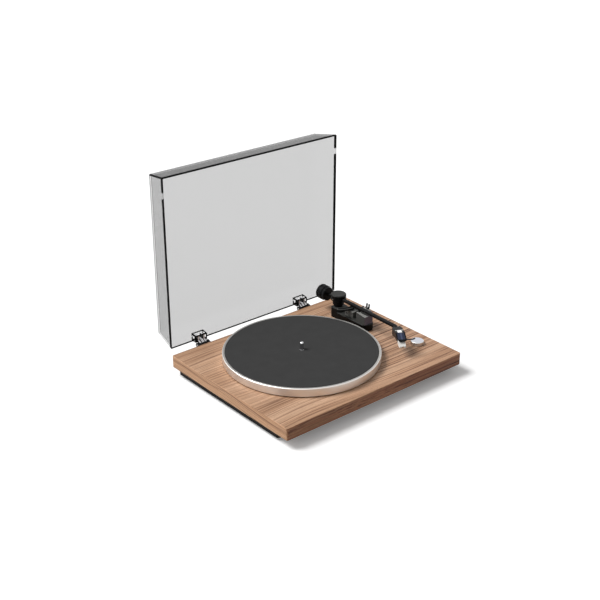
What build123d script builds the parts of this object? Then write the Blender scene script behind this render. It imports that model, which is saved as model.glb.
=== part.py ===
from build123d import *
from math import atan, cos, degrees, radians, sin, tan
import os

os.makedirs("parts", exist_ok=True)

# Turntable: belt-driven deck with a wooden plinth, an angled straight tonearm and a hinged clear cover.
# Millimetres, +Z up, the rear of the deck towards +Y. Z = 0 is the surface that the feet stand on.
# X = 0 is the plinth's centre line, and Y = 0 is the middle of the whole depth with the cover open.

# Plinth, tray and feet
plinth_width = 420.0
plinth_depth = 338.0
plinth_thickness = 23.5
plinth_corner = 4.0
plinth_edge = 1.0
tray_height = 12.5
tray_side_inset = 5.0
tray_front_inset = 31.0
tray_rear_inset = 13.0
tray_wall = 3.0
tray_floor = 2.5
tray_corner = 6.0
foot_height = 5.0
foot_radius = 19.0
foot_spigot_radius = 6.0
foot_inset = 30.0
foot_taper = 1.5
foot_recess_radius = 10.45
foot_recess = 1.2
tray_screw_inset = 12.0
tray_screw_length = 18.0
tray_screw_bore = 11.0
tray_post_radius = 4.5
top_z = foot_height + tray_height + plinth_thickness

# Cover and its hinges, with the cover standing open at a right angle
cover_side_inset = 6.0
cover_end_inset = 0.9
cover_height = 55.0
cover_draft = 9.0
cover_wall = 3.0
cover_corner = 3.0
cover_gap = 1.0
hinge_back = 8.1
hinge_drop = 2.9
hinge_left_x = -134.0
hinge_right_x = 116.0
sleeve_width = 26.5
sleeve_length = 13.6
sleeve_lift = 0.6
sleeve_height = 13.0
sleeve_rise = 2.2
sleeve_wall = 1.6
ear_radius = 4.5
ear_thickness = 5.0
barrel_radius = 4.2
hinge_pin_radius = 1.5
leaf_reach = 5.9
bracket_thickness = 2.5
bracket_height = 21.0
bracket_screw_spacing = 11.0
bracket_screw_rise = 4.0
pad_thickness = 0.7
pad_length = 10.0
pad_from_front = 34.0

# Platter, mat and bearing
platter_radius = 146.8
platter_height = 16.3
platter_lift = 1.5
platter_rim = 4.3
platter_web = 2.5
platter_lip = 1.0
platter_x = -31.3
platter_y_on_plinth = 6.2
mat_thickness = 3.0
mat_proud = 0.5
mat_bevel = 0.6
spindle_nose = 3.06
belt_ring_radius = 66.0
belt_ring_wall = 4.5
belt_ring_lift = 4.0
boss_radius = 13.0
boss_lift = 4.5
rib_count = 8
rib_thickness = 2.0
rib_depth = 1.2
window_radius = 12.0
spindle_radius = 3.6
shaft_radius = 4.0
spindle_rise = 16.0
bearing_radius = 8.5
bearing_flange_radius = 19.0
bearing_flange = 2.6
bearing_depth = 24.0
bearing_floor = 2.0
flange_screw_ring = 14.0
lower_bush_lift = 5.0
ledge_radius = 6.0
ledge_thickness = 1.2
bush_radius = 5.8
bush_length = 7.0
ball_radius = 2.2

# Drive
motor_distance = 96.0
motor_bearing = 133.0
motor_radius = 19.0
motor_height = 18.0
motor_plate = 1.5
motor_shaft_radius = 1.0
pulley_radius = 5.0
pulley_flange = 1.4
pulley_flange_thickness = 0.8
belt_height = 4.0
belt_thickness = 0.7
belt_from_ring = 0.8
motor_well_gap = 2.0
motor_plate_ends = 26.0
motor_plate_sides = 6.0
motor_screw_spacing = 53.0
motor_boss_radius = 3.5
motor_bore = 6.0
pulley_tail = 5.5
pulley_play = 0.3

# Selector knob and its switch
knob_radius = 12.5
knob_height = 7.0
knob_gap = 0.6
knob_from_side = 36.5
knob_from_front = 79.0
knob_shaft_radius = 3.0
switch_size = 22.0
switch_height = 10.0
switch_bush_radius = 4.5
knob_skin = 1.5
mark_from_edge = 4.2
mark_length = 5.0
mark_width = 1.0
mark_depth = 0.4
panel_under_top = 5.0

# Tonearm, measured from the vertical pivot and the plinth's top
pivot_from_spindle_x = 173.3
pivot_from_spindle_y = 93.3
arm_toe = 1.36
arm_bend = 27.0
elbow_reach = 164.4
spigot_radius = 2.2
spigot_length = 4.0
arm_z = 38.5
tube_radius = 4.0
tube_wall = 1.8
housing_radius = 15.5
housing_bottom = 26.0
housing_top = 47.5
housing_wall = 2.0
housing_floor = 1.6
housing_chamfer = 1.4
cap_bottom = 35.0
stem_radius = 11.5
stem_wall = 1.5
housing_roof = 1.5
window_gap = 0.9
lift_tilt = 2.2
swing_shaft_radius = 3.0
tilt_axle_radius = 1.25
block_width = 12.0
block_length = 14.0
block_below = 8.5
block_above = 4.0
stub_drop = 4.3
stub_radius = 3.0
stub_end = 57.5
stub_socket = 5.0
weight_radius = 15.0
weight_middle = 42.5
weight_length = 15.5
dial_length = 6.5
dial_radius = 13.6
weight_bush_radius = 7.5

# Headshell and cartridge, measured from the elbow along the headshell
shell_width = 18.5
shell_top = 3.5
shell_skin = 2.4
shell_crest = 34.0
shell_nose = 50.0
shell_nose_drop = 11.0
shell_wall_drop = 13.5
shell_wall_rise = 5.5
shell_start = 5.0
shell_full_width = 12.0
shell_taper_left = 38.0
shell_taper_right = 46.5
nose_half_width = 4.8
shell_skin_front = 0.8
screw_slot = (9.0, 2.4)
cartridge_screw_radius = 1.0
cartridge_head_radius = 1.9
cartridge_head = 1.1
cartridge_screw_spots = [(-6.0, -26.0), (6.0, -26.0)]
cartridge_width = 14.0
cartridge_start = 13.0
cartridge_end = 39.0
cartridge_bottom = 27.0
stylus_width = 12.0
stylus_reach = 55.5
stylus_tip = 20.0
stylus_notch = 4.4
notch_height = 2.8
notch_depth = 9.0
finger_start = 44.6
finger_length = 16.0
finger_curl = 1.0

# Arm base, lift and rest
base_width = 29.0
base_front = 93.0
base_rear = 8.5
base_height = 14.0
pedestal_front = 17.0
pedestal_height = 21.0
pedestal_corner = 9.0
collar_radius = 9.0
base_corner = 6.0
base_bevel = 1.5
pedestal_bevel = 1.2
screw_in_base = 8.0
rod_bore = 6.0
shaft_floor = -12.0
collar_gap = 0.3
lift_radius = 41.0
lift_bar_width = 10.0
lift_bar_thickness = 3.7
lift_pad = 0.9
lift_clearance = 0.4
lift_sweep = 44.0
lift_rod_radius = 2.2
cue_unit_width = 15.0
cue_unit_front = 44.5
cue_unit_rear = 28.5
cue_unit_top = 27.2
lever_radius = 5.0
lever_thickness = 3.2
lever_reach = 40.0
lever_axle_radius = 2.0
lever_z = 19.5
rest_from_pivot = 78.0
rest_length = 24.0
rest_floor = 31.0
rest_rib = 4.0
rest_left_height = 34.0
rest_right_height = 39.0
cheek = 4.5
rest_inner = 12.5
latch_top = 49.5
latch_z = 42.0
latch_lug = 3.1
latch_arm = 1.5
latch_arm_width = 1.6
latch_hub_radius = 1.7
latch_pin_radius = 0.9
skate_knob_radius = 4.6
skate_knob_height = 8.6
skate_post_radius = 1.5

# Electronics and sockets
board_width = 96.0
board_depth = 52.0
board_thickness = 1.6
board_headroom = 1.4
standoff = 2.0
jack_spacing = 14.0
jack_reach = 8.5
slide_travel = 2.0
board_inset = 14.0
board_offset = 38.0
standoff_radius = 2.6
peg_radius = 1.3
peg_rise = 0.8
chip_size = (10.0, 10.0)
small_chip_size = (8.0, 5.0)
chip_height = 1.5
can_radius = 2.5
can_spacing = 9.0
jack_wall = 0.9
jack_contact_radius = 1.9
jack_pin_radius = 1.6
jack_pin_depth = 9.0
jack_block_depth = 6.0
post_thread_radius = 2.0
post_disc = 6.0
post_reach = 9.0
post_disc_end = 8.5
post_tail = 4.0
post_nut = (3.6, 6)
post_nut_thickness = 2.4
socket_depth = 7.0
socket_lip = 0.8
socket_bore_radius = 2.8
socket_bore = 8.0
socket_pin_radius = 1.0
slider_size = (4.2, 2.3)
slider_rise = 1.2
slider_tail = 2.1
switch_body_size = (14.0, 7.0)
switch_body_depth = 5.0
switch_recess_size = (8.6, 2.6)
switch_recess = 2.2
slider_edge = 0.4

# Shared clearances
running = 0.05
seat = 0.02
loose = 0.3
screw_radius = 1.5
screw_head_radius = 3.0
screw_head_depth = 1.8
pan_head_radius = 2.6
pan_head_depth = 1.2
sunk_pan_head_radius = 2.8
nib = 0.2
break_edge = 0.8
fine_chamfer = 0.6
pin_circle_radius = 0.6
finger_start_in_wall = 1.6
finger_half_thickness = 0.6
finger_width = 3.2
finger_bend = 8.0
weight_groove = 0.9
weight_groove_place = 0.42
dial_notch_radius = 0.9
dial_notches = 24
knob_notches = 12
elbow_solid = 8.0
shell_shoulder = 14.0
shell_toe = 4.0
wrist_length = 7.0
lever_arm_width = 5.0
lever_pad_size = (10.0, 12.0, 2.5)
lever_pad_thickness = 2.4
leaf_gap = 0.15
leaf_flange = 2.2
leaf_rib_spacing = 12.0
bracket_flange = 14.0
bracket_corner = 2.5
bracket_lip = 6.0

# Derived places
cover_width = plinth_width - 2 * cover_side_inset
cover_length = plinth_depth - 2 * cover_end_inset
rim_gap = cover_gap + hinge_drop
lift_bar_top = arm_z - tube_radius - lift_clearance - lift_pad
lift_bar_bottom = lift_bar_top - lift_bar_thickness
plinth_y = -(hinge_back + rim_gap + cover_height) / 2
plinth_front = plinth_y - plinth_depth / 2
plinth_rear = plinth_y + plinth_depth / 2
hinge_y = plinth_rear + hinge_back
hinge_z = top_z - hinge_drop
rim_y = hinge_y + rim_gap
rim_bottom = hinge_z + hinge_back + cover_end_inset
rim_middle = rim_bottom + cover_length / 2
draft_angle = degrees(atan(cover_draft / cover_height))
spindle_x = platter_x
spindle_y = plinth_y + platter_y_on_plinth
platter_bottom = top_z + platter_lift
platter_top = platter_bottom + platter_height
mat_top = platter_top + mat_proud
mat_radius = platter_radius - platter_rim - loose
motor_x = spindle_x + motor_distance * cos(radians(motor_bearing))
motor_y = spindle_y + motor_distance * sin(radians(motor_bearing))
knob_x = plinth_width / 2 - knob_from_side
knob_y = plinth_front + knob_from_front
pivot_x = spindle_x + pivot_from_spindle_x
pivot_y = spindle_y + pivot_from_spindle_y
base_x = pivot_x
tray_bottom = foot_height
tray_top = foot_height + tray_height
tray_front = plinth_front + tray_front_inset
tray_rear = plinth_rear - tray_rear_inset
tray_width = plinth_width - 2 * tray_side_inset
tray_depth = tray_rear - tray_front
tray_y = (tray_rear + tray_front) / 2


def frame_at(x, y, turn):
    """A level plane on the plinth's top, turned clockwise as seen from above."""
    across = (cos(radians(turn)), -sin(radians(turn)), 0)
    return Plane(origin=(x, y, top_z), x_dir=across, z_dir=(0, 0, 1))


def level(frame, x=0.0, y=0.0, z=0.0):
    return Plane(origin=frame.from_local_coords((x, y, z)), x_dir=frame.x_dir, z_dir=frame.z_dir)


def facing_front(frame, x=0.0, y=0.0, z=0.0):
    """A plane across the frame, whose own Y is up and whose normal points forward."""
    return Plane(origin=frame.from_local_coords((x, y, z)), x_dir=frame.x_dir, z_dir=-frame.y_dir)


def facing_side(frame, x=0.0, y=0.0, z=0.0):
    """A plane along the frame, whose own X points forward and whose own Y is up."""
    return Plane(origin=frame.from_local_coords((x, y, z)), x_dir=-frame.y_dir, z_dir=-frame.x_dir)


arm = frame_at(pivot_x, pivot_y, arm_toe)
elbow_point = arm.from_local_coords((0, -elbow_reach, 0))
shell = frame_at(elbow_point.X, elbow_point.Y, arm_toe + arm_bend)
base = frame_at(base_x, pivot_y, 0)


def save(part, label):
    part.label = label
    export_step(part, f"parts/{label}.step")


def screw(plane, length, head=screw_head_depth):
    """A countersunk screw whose head's top lies in the plane and whose shank runs against its normal."""
    with BuildPart() as piece:
        with BuildSketch(plane):
            Circle(screw_head_radius)
        with BuildSketch(plane.offset(-head)):
            Circle(screw_radius)
        loft()
        with BuildSketch(plane.offset(-head)):
            Circle(screw_radius)
        extrude(amount=-(length - head))
    return piece.part


# Plinth
tray_screw_spots = [
    (side * (tray_width / 2 - tray_screw_inset), y)
    for side in (-1, 1)
    for y in (tray_front + tray_screw_inset, tray_y, tray_rear - tray_screw_inset)
]
foot_spots = {
    "front_left": (-(tray_width / 2 - foot_inset), tray_front + foot_inset),
    "front_right": (tray_width / 2 - foot_inset, tray_front + foot_inset),
    "rear_left": (-(tray_width / 2 - foot_inset), tray_rear - foot_inset),
    "rear_right": (tray_width / 2 - foot_inset, tray_rear - foot_inset),
}
motor_well_radius = motor_radius + motor_well_gap
switch_well = switch_size + 4.0
arm_screw_spots = [(-9.0, -72.0), (9.0, -72.0), (-9.0, -26.0), (9.0, -26.0)]

with BuildPart() as plinth:
    with BuildSketch(Plane.XY.offset(tray_top)):
        with Locations((0, plinth_y)):
            RectangleRounded(plinth_width, plinth_depth, plinth_corner)
    extrude(amount=plinth_thickness)
    fillet(plinth.faces().sort_by(Axis.Z)[-1].edges(), plinth_edge)
    fillet(plinth.faces().sort_by(Axis.Z)[0].edges(), plinth_edge)
    with BuildSketch(Plane.XY.offset(top_z)):
        with Locations((spindle_x, spindle_y)):
            Circle(bearing_radius + loose)
        with Locations((motor_x, motor_y)):
            Circle(motor_well_radius)
        with Locations((knob_x, knob_y)):
            Circle(switch_bush_radius + loose)
        with Locations((pivot_x, pivot_y)):
            Circle(collar_radius - 2.0)
    extrude(amount=-plinth_thickness, mode=Mode.SUBTRACT)
    with BuildSketch(Plane.XY.offset(tray_top)):
        with Locations((knob_x, knob_y)):
            RectangleRounded(switch_well, switch_well, 3)
    extrude(amount=plinth_thickness - panel_under_top, mode=Mode.SUBTRACT)
    with BuildSketch(Plane.XY.offset(tray_top)):
        with Locations(*tray_screw_spots):
            Circle(screw_radius + seat)
    extrude(amount=tray_screw_bore, mode=Mode.SUBTRACT)
    with BuildSketch(level(base)):
        with Locations(*arm_screw_spots):
            Circle(screw_radius + seat)
    extrude(amount=-plinth_thickness, mode=Mode.SUBTRACT)
    with BuildSketch(level(base, z=-plinth_thickness)):
        with Locations(*arm_screw_spots):
            Circle(screw_head_radius + loose)
    extrude(amount=6.0, mode=Mode.SUBTRACT)
save(plinth.part, "plinth")

# Circuit board's place and the standoffs that are moulded on the tray for it
rear_x = -90.0
board_x = rear_x + board_offset
board_y = tray_rear - tray_wall - board_inset - board_depth / 2
board_z = tray_bottom + tray_floor + standoff
part_height = tray_top - board_z - board_thickness - board_headroom
board_spots = [
    (board_x + sx * (board_width / 2 - 4), board_y + sy * (board_depth / 2 - 4)) for sx in (-1, 1) for sy in (-1, 1)
]

# Base tray with its screw posts, open at the top
with BuildPart() as base_tray:
    with BuildSketch(Plane.XY.offset(tray_bottom)):
        with Locations((0, tray_y)):
            RectangleRounded(tray_width, tray_depth, tray_corner)
    extrude(amount=tray_height)
    chamfer(base_tray.faces().sort_by(Axis.Z)[0].edges(), 1.0)
    with BuildSketch(Plane.XY.offset(tray_bottom + tray_floor)):
        with Locations((0, tray_y)):
            RectangleRounded(tray_width - 2 * tray_wall, tray_depth - 2 * tray_wall, tray_corner - tray_wall)
    extrude(amount=tray_height, mode=Mode.SUBTRACT)
    with BuildSketch(Plane.XY.offset(tray_bottom + tray_floor)):
        with Locations(*tray_screw_spots):
            Circle(tray_post_radius)
        with Locations(*foot_spots.values()):
            Circle(foot_spigot_radius + 2.0)
    extrude(amount=tray_height - tray_floor)
    with BuildSketch(Plane.XY.offset(tray_bottom + tray_floor)):
        with Locations(*board_spots):
            Circle(standoff_radius)
    extrude(amount=standoff)
    with BuildSketch(Plane.XY.offset(board_z)):
        with Locations(*board_spots):
            Circle(peg_radius - seat)
    extrude(amount=board_thickness + peg_rise)
    with BuildSketch(Plane.XY.offset(tray_bottom)):
        with Locations(*tray_screw_spots):
            Circle(screw_radius + loose)
        with Locations(*foot_spots.values()):
            Circle(foot_spigot_radius + seat)
    extrude(amount=tray_height, mode=Mode.SUBTRACT)
    with BuildSketch(Plane.XY.offset(tray_bottom)):
        with Locations(*tray_screw_spots):
            Circle(screw_head_radius + loose)
    extrude(amount=2.0, mode=Mode.SUBTRACT)

# Sockets in the tray's rear wall, from the left as seen from behind
socket_z = (tray_bottom + tray_floor + tray_top) / 2
socket_room = tray_height - tray_floor
jack_radius = 0.415 * socket_room
jack_body_radius = 0.46 * socket_room
socket_size = 0.9 * socket_room
ground_disc_radius = 0.42 * socket_room
rear_spots = {
    "left_jack": -jack_spacing / 2,
    "right_jack": jack_spacing / 2,
    "ground_post": -jack_spacing * 1.7,
    "output_switch": jack_spacing * 2.0,
    "power_socket": 110.0,
}


def rear_plane(name, inset=0.0):
    """A plane on the tray's rear wall at a socket, its normal pointing out of the deck."""
    origin = (rear_x + rear_spots[name], tray_rear - inset, socket_z)
    return Plane(origin=origin, x_dir=(-1, 0, 0), z_dir=(0, 1, 0))


switch_slot = (10.0, 3.4)
with BuildPart(mode=Mode.PRIVATE) as rear_holes:
    for name in ("left_jack", "right_jack"):
        with BuildSketch(rear_plane(name, tray_wall + 1)):
            Circle(jack_body_radius + seat)
        extrude(amount=tray_wall + 2)
    with BuildSketch(rear_plane("ground_post", tray_wall + 1)):
        Circle(post_thread_radius + seat)
    extrude(amount=tray_wall + 2)
    with BuildSketch(rear_plane("output_switch", tray_wall + 1)):
        Rectangle(*switch_slot)
    extrude(amount=tray_wall + 2)
    with BuildSketch(rear_plane("power_socket", tray_wall + 1)):
        Rectangle(socket_size + 2 * seat, socket_size + 2 * seat)
    extrude(amount=tray_wall + 2)
base_tray.part = base_tray.part - rear_holes.part
save(base_tray.part, "base_tray")

tray_screws = [
    screw(Plane(origin=(x, y, tray_bottom + nib), z_dir=(0, 0, -1)), tray_screw_length)
    for x, y in tray_screw_spots
]
save(Compound(children=tray_screws), "tray_screws")

# Feet, each with a spigot pushed into the tray
for spot, (x, y) in foot_spots.items():
    with BuildPart() as foot:
        with BuildSketch(Plane.XY):
            with Locations((x, y)):
                Circle(foot_radius - foot_taper)
        with BuildSketch(Plane.XY.offset(foot_height)):
            with Locations((x, y)):
                Circle(foot_radius)
        loft()
        with BuildSketch(Plane.XY):
            with Locations((x, y)):
                Circle(foot_recess_radius)
        extrude(amount=foot_recess, mode=Mode.SUBTRACT)
        with BuildSketch(Plane.XY.offset(foot_height)):
            with Locations((x, y)):
                Circle(foot_spigot_radius)
        extrude(amount=tray_height - 2.0)
    save(foot.part, f"foot_{spot}")

# Rear sockets
with BuildPart() as rca_sockets:
    with BuildSketch(Plane(origin=(rear_x, tray_rear - tray_wall, socket_z), x_dir=(-1, 0, 0), z_dir=(0, 1, 0))):
        Rectangle(jack_spacing + 2 * jack_body_radius, 2 * jack_body_radius)
    extrude(amount=-jack_block_depth)
    for name in ("left_jack", "right_jack"):
        with BuildSketch(rear_plane(name, tray_wall)):
            Circle(jack_body_radius)
        extrude(amount=tray_wall + 1.0)
        with BuildSketch(rear_plane(name, -1.0)):
            Circle(jack_radius)
        extrude(amount=jack_reach - 1.0)
        with BuildSketch(rear_plane(name, -jack_reach)):
            Circle(jack_radius - jack_wall)
            Circle(jack_contact_radius, mode=Mode.SUBTRACT)
        extrude(amount=-(jack_reach - 1.0), mode=Mode.SUBTRACT)
        with BuildSketch(rear_plane(name, -jack_reach)):
            Circle(jack_pin_radius)
        extrude(amount=-jack_pin_depth, mode=Mode.SUBTRACT)
save(rca_sockets.part, "rca_sockets")

with BuildPart() as ground_post:
    with BuildSketch(rear_plane("ground_post", tray_wall + post_tail)):
        Circle(post_thread_radius)
    extrude(amount=tray_wall + post_tail + post_reach)
    with BuildSketch(rear_plane("ground_post", -post_disc_end)):
        Circle(ground_disc_radius)
    extrude(amount=-post_disc)
    with BuildSketch(rear_plane("ground_post", tray_wall)):
        RegularPolygon(*post_nut)
    extrude(amount=-post_nut_thickness)
save(ground_post.part, "ground_post")

with BuildPart() as power_socket:
    with BuildSketch(rear_plane("power_socket", tray_wall + socket_depth)):
        Rectangle(socket_size, socket_size)
    extrude(amount=tray_wall + socket_depth + socket_lip)
    with BuildSketch(rear_plane("power_socket", -socket_lip)):
        Circle(socket_bore_radius)
        Circle(socket_pin_radius, mode=Mode.SUBTRACT)
    extrude(amount=-socket_bore, mode=Mode.SUBTRACT)
save(power_socket.part, "power_socket")

with BuildPart() as switch_body:
    with BuildSketch(rear_plane("output_switch", tray_wall)):
        Rectangle(*switch_body_size)
    extrude(amount=-switch_body_depth)
    with BuildSketch(rear_plane("output_switch", tray_wall)):
        Rectangle(*switch_recess_size)
    extrude(amount=-switch_recess, mode=Mode.SUBTRACT)
save(switch_body.part, "output_switch_body")

with BuildPart() as switch_slider:
    with BuildSketch(rear_plane("output_switch", tray_wall + slider_tail)):
        with Locations((-slide_travel, 0)):
            Rectangle(*slider_size)
    extrude(amount=tray_wall + slider_tail + slider_rise)
    fillet(switch_slider.faces().sort_by(Axis.Y)[-1].edges(), slider_edge)
save(switch_slider.part, "output_switch_slider")

# Circuit board on its standoffs
with BuildPart() as circuit_board:
    with BuildSketch(Plane.XY.offset(board_z)):
        with Locations((board_x, board_y)):
            Rectangle(board_width, board_depth)
        with Locations(*board_spots):
            Circle(peg_radius, mode=Mode.SUBTRACT)
    extrude(amount=board_thickness)
    with BuildSketch(Plane.XY.offset(board_z + board_thickness)):
        with Locations((board_x - 18, board_y + 6)):
            Rectangle(*chip_size)
        with Locations((board_x + 4, board_y + 6)):
            Rectangle(*small_chip_size)
    extrude(amount=chip_height)
    with BuildSketch(Plane.XY.offset(board_z + board_thickness)):
        with Locations(*[(board_x + 2 * can_spacing + can_spacing * n, board_y + 12) for n in range(3)]):
            Circle(can_radius)
    extrude(amount=part_height)
save(circuit_board.part, "circuit_board")

# Main bearing: a flanged housing with two bushes, a ball and the spindle
bearing_bottom = top_z - bearing_depth
housing_bore = bush_radius + seat
with BuildPart() as bearing_housing:
    with BuildSketch(Plane.XY.offset(top_z)):
        with Locations((spindle_x, spindle_y)):
            Circle(bearing_flange_radius)
            with PolarLocations(flange_screw_ring, 3):
                Circle(screw_radius + loose, mode=Mode.SUBTRACT)
    extrude(amount=bearing_flange)
    with BuildSketch(Plane.XY.offset(bearing_bottom)):
        with Locations((spindle_x, spindle_y)):
            Circle(bearing_radius)
    extrude(amount=bearing_depth)
    with BuildSketch(Plane.XY.offset(bearing_bottom + bearing_floor)):
        with Locations((spindle_x, spindle_y)):
            Circle(housing_bore)
    extrude(amount=bearing_depth + bearing_flange, mode=Mode.SUBTRACT)
save(bearing_housing.part, "bearing_housing")

with BuildPart() as bearing_bushes:
    for bottom in (bearing_bottom + bearing_floor + lower_bush_lift, top_z + bearing_flange - bush_length):
        with BuildSketch(Plane.XY.offset(bottom)):
            with Locations((spindle_x, spindle_y)):
                Circle(bush_radius)
                Circle(shaft_radius + running, mode=Mode.SUBTRACT)
        extrude(amount=bush_length)
save(bearing_bushes.part, "bearing_bushes")

with BuildPart() as thrust_ball:
    with Locations((spindle_x, spindle_y, bearing_bottom + bearing_floor + ball_radius + seat)):
        Sphere(ball_radius)
save(thrust_ball.part, "thrust_ball")

# Spindle: turned shaft with a ledge under the platter's boss
# Above the mat it is a thinner pin with a bullet nose
ledge_z = platter_bottom + boss_lift
shaft_foot = bearing_bottom + bearing_floor + 2 * ball_radius + 2 * seat
spindle_tip = mat_top + spindle_rise
with BuildPart() as spindle:
    with BuildSketch(Plane.XY.offset(shaft_foot)):
        with Locations((spindle_x, spindle_y)):
            Circle(shaft_radius)
    extrude(amount=mat_top - shaft_foot)
    with BuildSketch(Plane.XY.offset(mat_top)):
        with Locations((spindle_x, spindle_y)):
            Circle(spindle_radius)
    extrude(amount=spindle_tip - mat_top)
    fillet(spindle.edges().group_by(Axis.Z)[-1], spindle_nose)
    with BuildSketch(Plane.XY.offset(ledge_z - ledge_thickness)):
        with Locations((spindle_x, spindle_y)):
            Circle(ledge_radius)
    extrude(amount=ledge_thickness)
save(spindle.part, "spindle")

# Platter: cast and turned, with a belt ring, shallow ribs and two belt windows under the mat
web_top = mat_top - mat_thickness
web_bottom = web_top - platter_web
rim_inner = platter_radius - platter_rim
with BuildPart() as platter:
    with BuildSketch(Plane.XZ.offset(-spindle_y)):
        with BuildLine():
            Polyline(
                (spindle_x + shaft_radius + seat, ledge_z),
                (spindle_x + boss_radius, ledge_z),
                (spindle_x + boss_radius, web_bottom),
                (spindle_x + belt_ring_radius - belt_ring_wall, web_bottom),
                (spindle_x + belt_ring_radius - belt_ring_wall, platter_bottom + belt_ring_lift),
                (spindle_x + belt_ring_radius, platter_bottom + belt_ring_lift),
                (spindle_x + belt_ring_radius, web_bottom),
                (spindle_x + rim_inner - 1.5, web_bottom),
                (spindle_x + rim_inner + 0.5, web_bottom - 2.0),
                (spindle_x + rim_inner + 1.5, platter_bottom),
                (spindle_x + platter_radius - 1.0, platter_bottom),
                (spindle_x + platter_radius, platter_bottom + 1.0),
                (spindle_x + platter_radius, platter_top - platter_lip),
                (spindle_x + platter_radius - platter_lip, platter_top),
                (spindle_x + rim_inner, platter_top),
                (spindle_x + rim_inner, web_top),
                (spindle_x + shaft_radius + seat, web_top),
                close=True,
            )
        make_face()
    revolve(axis=Axis((spindle_x, spindle_y, 0), (0, 0, 1)))
    rib_inner = belt_ring_radius - 1.0
    rib_outer = rim_inner - 1.0
    with BuildSketch(Plane.XY.offset(web_bottom + nib)):
        with Locations((spindle_x, spindle_y)):
            with PolarLocations((rib_inner + rib_outer) / 2, rib_count):
                Rectangle(rib_outer - rib_inner, rib_thickness)
    extrude(amount=-(rib_depth + nib))
    with BuildSketch(Plane.XY.offset(web_top)):
        with Locations((spindle_x, spindle_y)):
            with PolarLocations((belt_ring_radius + rim_inner) / 2, 2, start_angle=180 / rib_count):
                Circle(window_radius)
    extrude(amount=-platter_web, mode=Mode.SUBTRACT)
save(platter.part, "platter")

with BuildPart() as platter_mat:
    with BuildSketch(Plane.XY.offset(web_top)):
        with Locations((spindle_x, spindle_y)):
            Circle(mat_radius)
            Circle(shaft_radius + loose, mode=Mode.SUBTRACT)
    extrude(amount=mat_thickness)
    mat_top_edges = platter_mat.edges().filter_by(GeomType.CIRCLE).group_by(Axis.Z)[-1]
    chamfer(mat_top_edges.sort_by(SortBy.RADIUS)[-1], mat_bevel)
save(platter_mat.part, "platter_mat")

# Motor on its plate, pulley and flat belt
belt_z = platter_bottom + belt_ring_lift + belt_from_ring
motor_top = top_z - nib
with BuildPart() as motor_plate_part:
    with BuildSketch(Plane.XY.offset(top_z)):
        with Locations((motor_x, motor_y)):
            SlotOverall(2 * motor_well_radius + motor_plate_ends, 2 * motor_well_radius - motor_plate_sides)
            Circle(4.0, mode=Mode.SUBTRACT)
            with GridLocations(motor_screw_spacing, 1, 2, 1):
                Circle(screw_radius + loose, mode=Mode.SUBTRACT)
    extrude(amount=motor_plate)
save(motor_plate_part.part, "motor_plate")

# Pan-head screws of the bearing's flange, the motor's plate and the arm base, which is held from below
arm_screw_seat = -plinth_thickness + 6.0
arm_screw_grip = 7.5
with BuildPart() as deck_screws:
    with BuildSketch(Plane.XY.offset(top_z)):
        with Locations((spindle_x, spindle_y)):
            with PolarLocations(flange_screw_ring, 3):
                Circle(screw_radius)
    extrude(amount=bearing_flange)
    with BuildSketch(Plane.XY.offset(top_z + bearing_flange)):
        with Locations((spindle_x, spindle_y)):
            with PolarLocations(flange_screw_ring, 3):
                Circle(pan_head_radius)
    extrude(amount=pan_head_depth)
    with BuildSketch(Plane.XY.offset(top_z)):
        with Locations((motor_x, motor_y)):
            with GridLocations(motor_screw_spacing, 1, 2, 1):
                Circle(screw_radius)
    extrude(amount=motor_plate)
    with BuildSketch(Plane.XY.offset(top_z + motor_plate)):
        with Locations((motor_x, motor_y)):
            with GridLocations(motor_screw_spacing, 1, 2, 1):
                Circle(pan_head_radius)
    extrude(amount=pan_head_depth)
    for x, y in arm_screw_spots:
        with BuildSketch(level(base, x, y, arm_screw_seat)):
            Circle(screw_radius)
        extrude(amount=arm_screw_grip - arm_screw_seat)
        with BuildSketch(level(base, x, y, arm_screw_seat)):
            Circle(sunk_pan_head_radius)
        extrude(amount=-2.0)
save(deck_screws.part, "deck_screws")

with BuildPart() as motor:
    with BuildSketch(Plane.XY.offset(motor_top)):
        with Locations((motor_x, motor_y)):
            Circle(motor_radius)
    extrude(amount=-motor_height)
    fillet(motor.edges().group_by(Axis.Z)[0], 2.0)
    with BuildSketch(Plane.XY.offset(motor_top)):
        with Locations((motor_x, motor_y)):
            Circle(motor_boss_radius)
            Circle(motor_shaft_radius + running, mode=Mode.SUBTRACT)
    extrude(amount=nib + motor_plate)
    with BuildSketch(Plane.XY.offset(motor_top)):
        with Locations((motor_x, motor_y)):
            Circle(motor_shaft_radius + running)
    extrude(amount=-motor_bore, mode=Mode.SUBTRACT)
save(motor.part, "motor")

with BuildPart() as motor_pulley:
    with BuildSketch(Plane.XY.offset(motor_top - pulley_tail)):
        with Locations((motor_x, motor_y)):
            Circle(motor_shaft_radius)
    extrude(amount=belt_z + belt_height / 2 - motor_top + pulley_tail)
    with BuildSketch(Plane.XY.offset(belt_z - pulley_play)):
        with Locations((motor_x, motor_y)):
            Circle(pulley_radius)
    extrude(amount=belt_height + 2 * pulley_play)
    for flange_z in (belt_z - pulley_play - pulley_flange_thickness, belt_z + belt_height + pulley_play):
        with BuildSketch(Plane.XY.offset(flange_z)):
            with Locations((motor_x, motor_y)):
                Circle(pulley_radius + pulley_flange)
        extrude(amount=pulley_flange_thickness)
save(motor_pulley.part, "motor_pulley")


def belt_loop(clearance):
    """The hull of the belt ring and the pulley, grown by a clearance."""
    with BuildSketch(Plane.XY.offset(belt_z), mode=Mode.PRIVATE) as loop:
        with Locations((spindle_x, spindle_y)):
            Circle(belt_ring_radius + clearance)
        with Locations((motor_x, motor_y)):
            Circle(pulley_radius + clearance)
        make_hull()
    return loop.sketch


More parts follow.
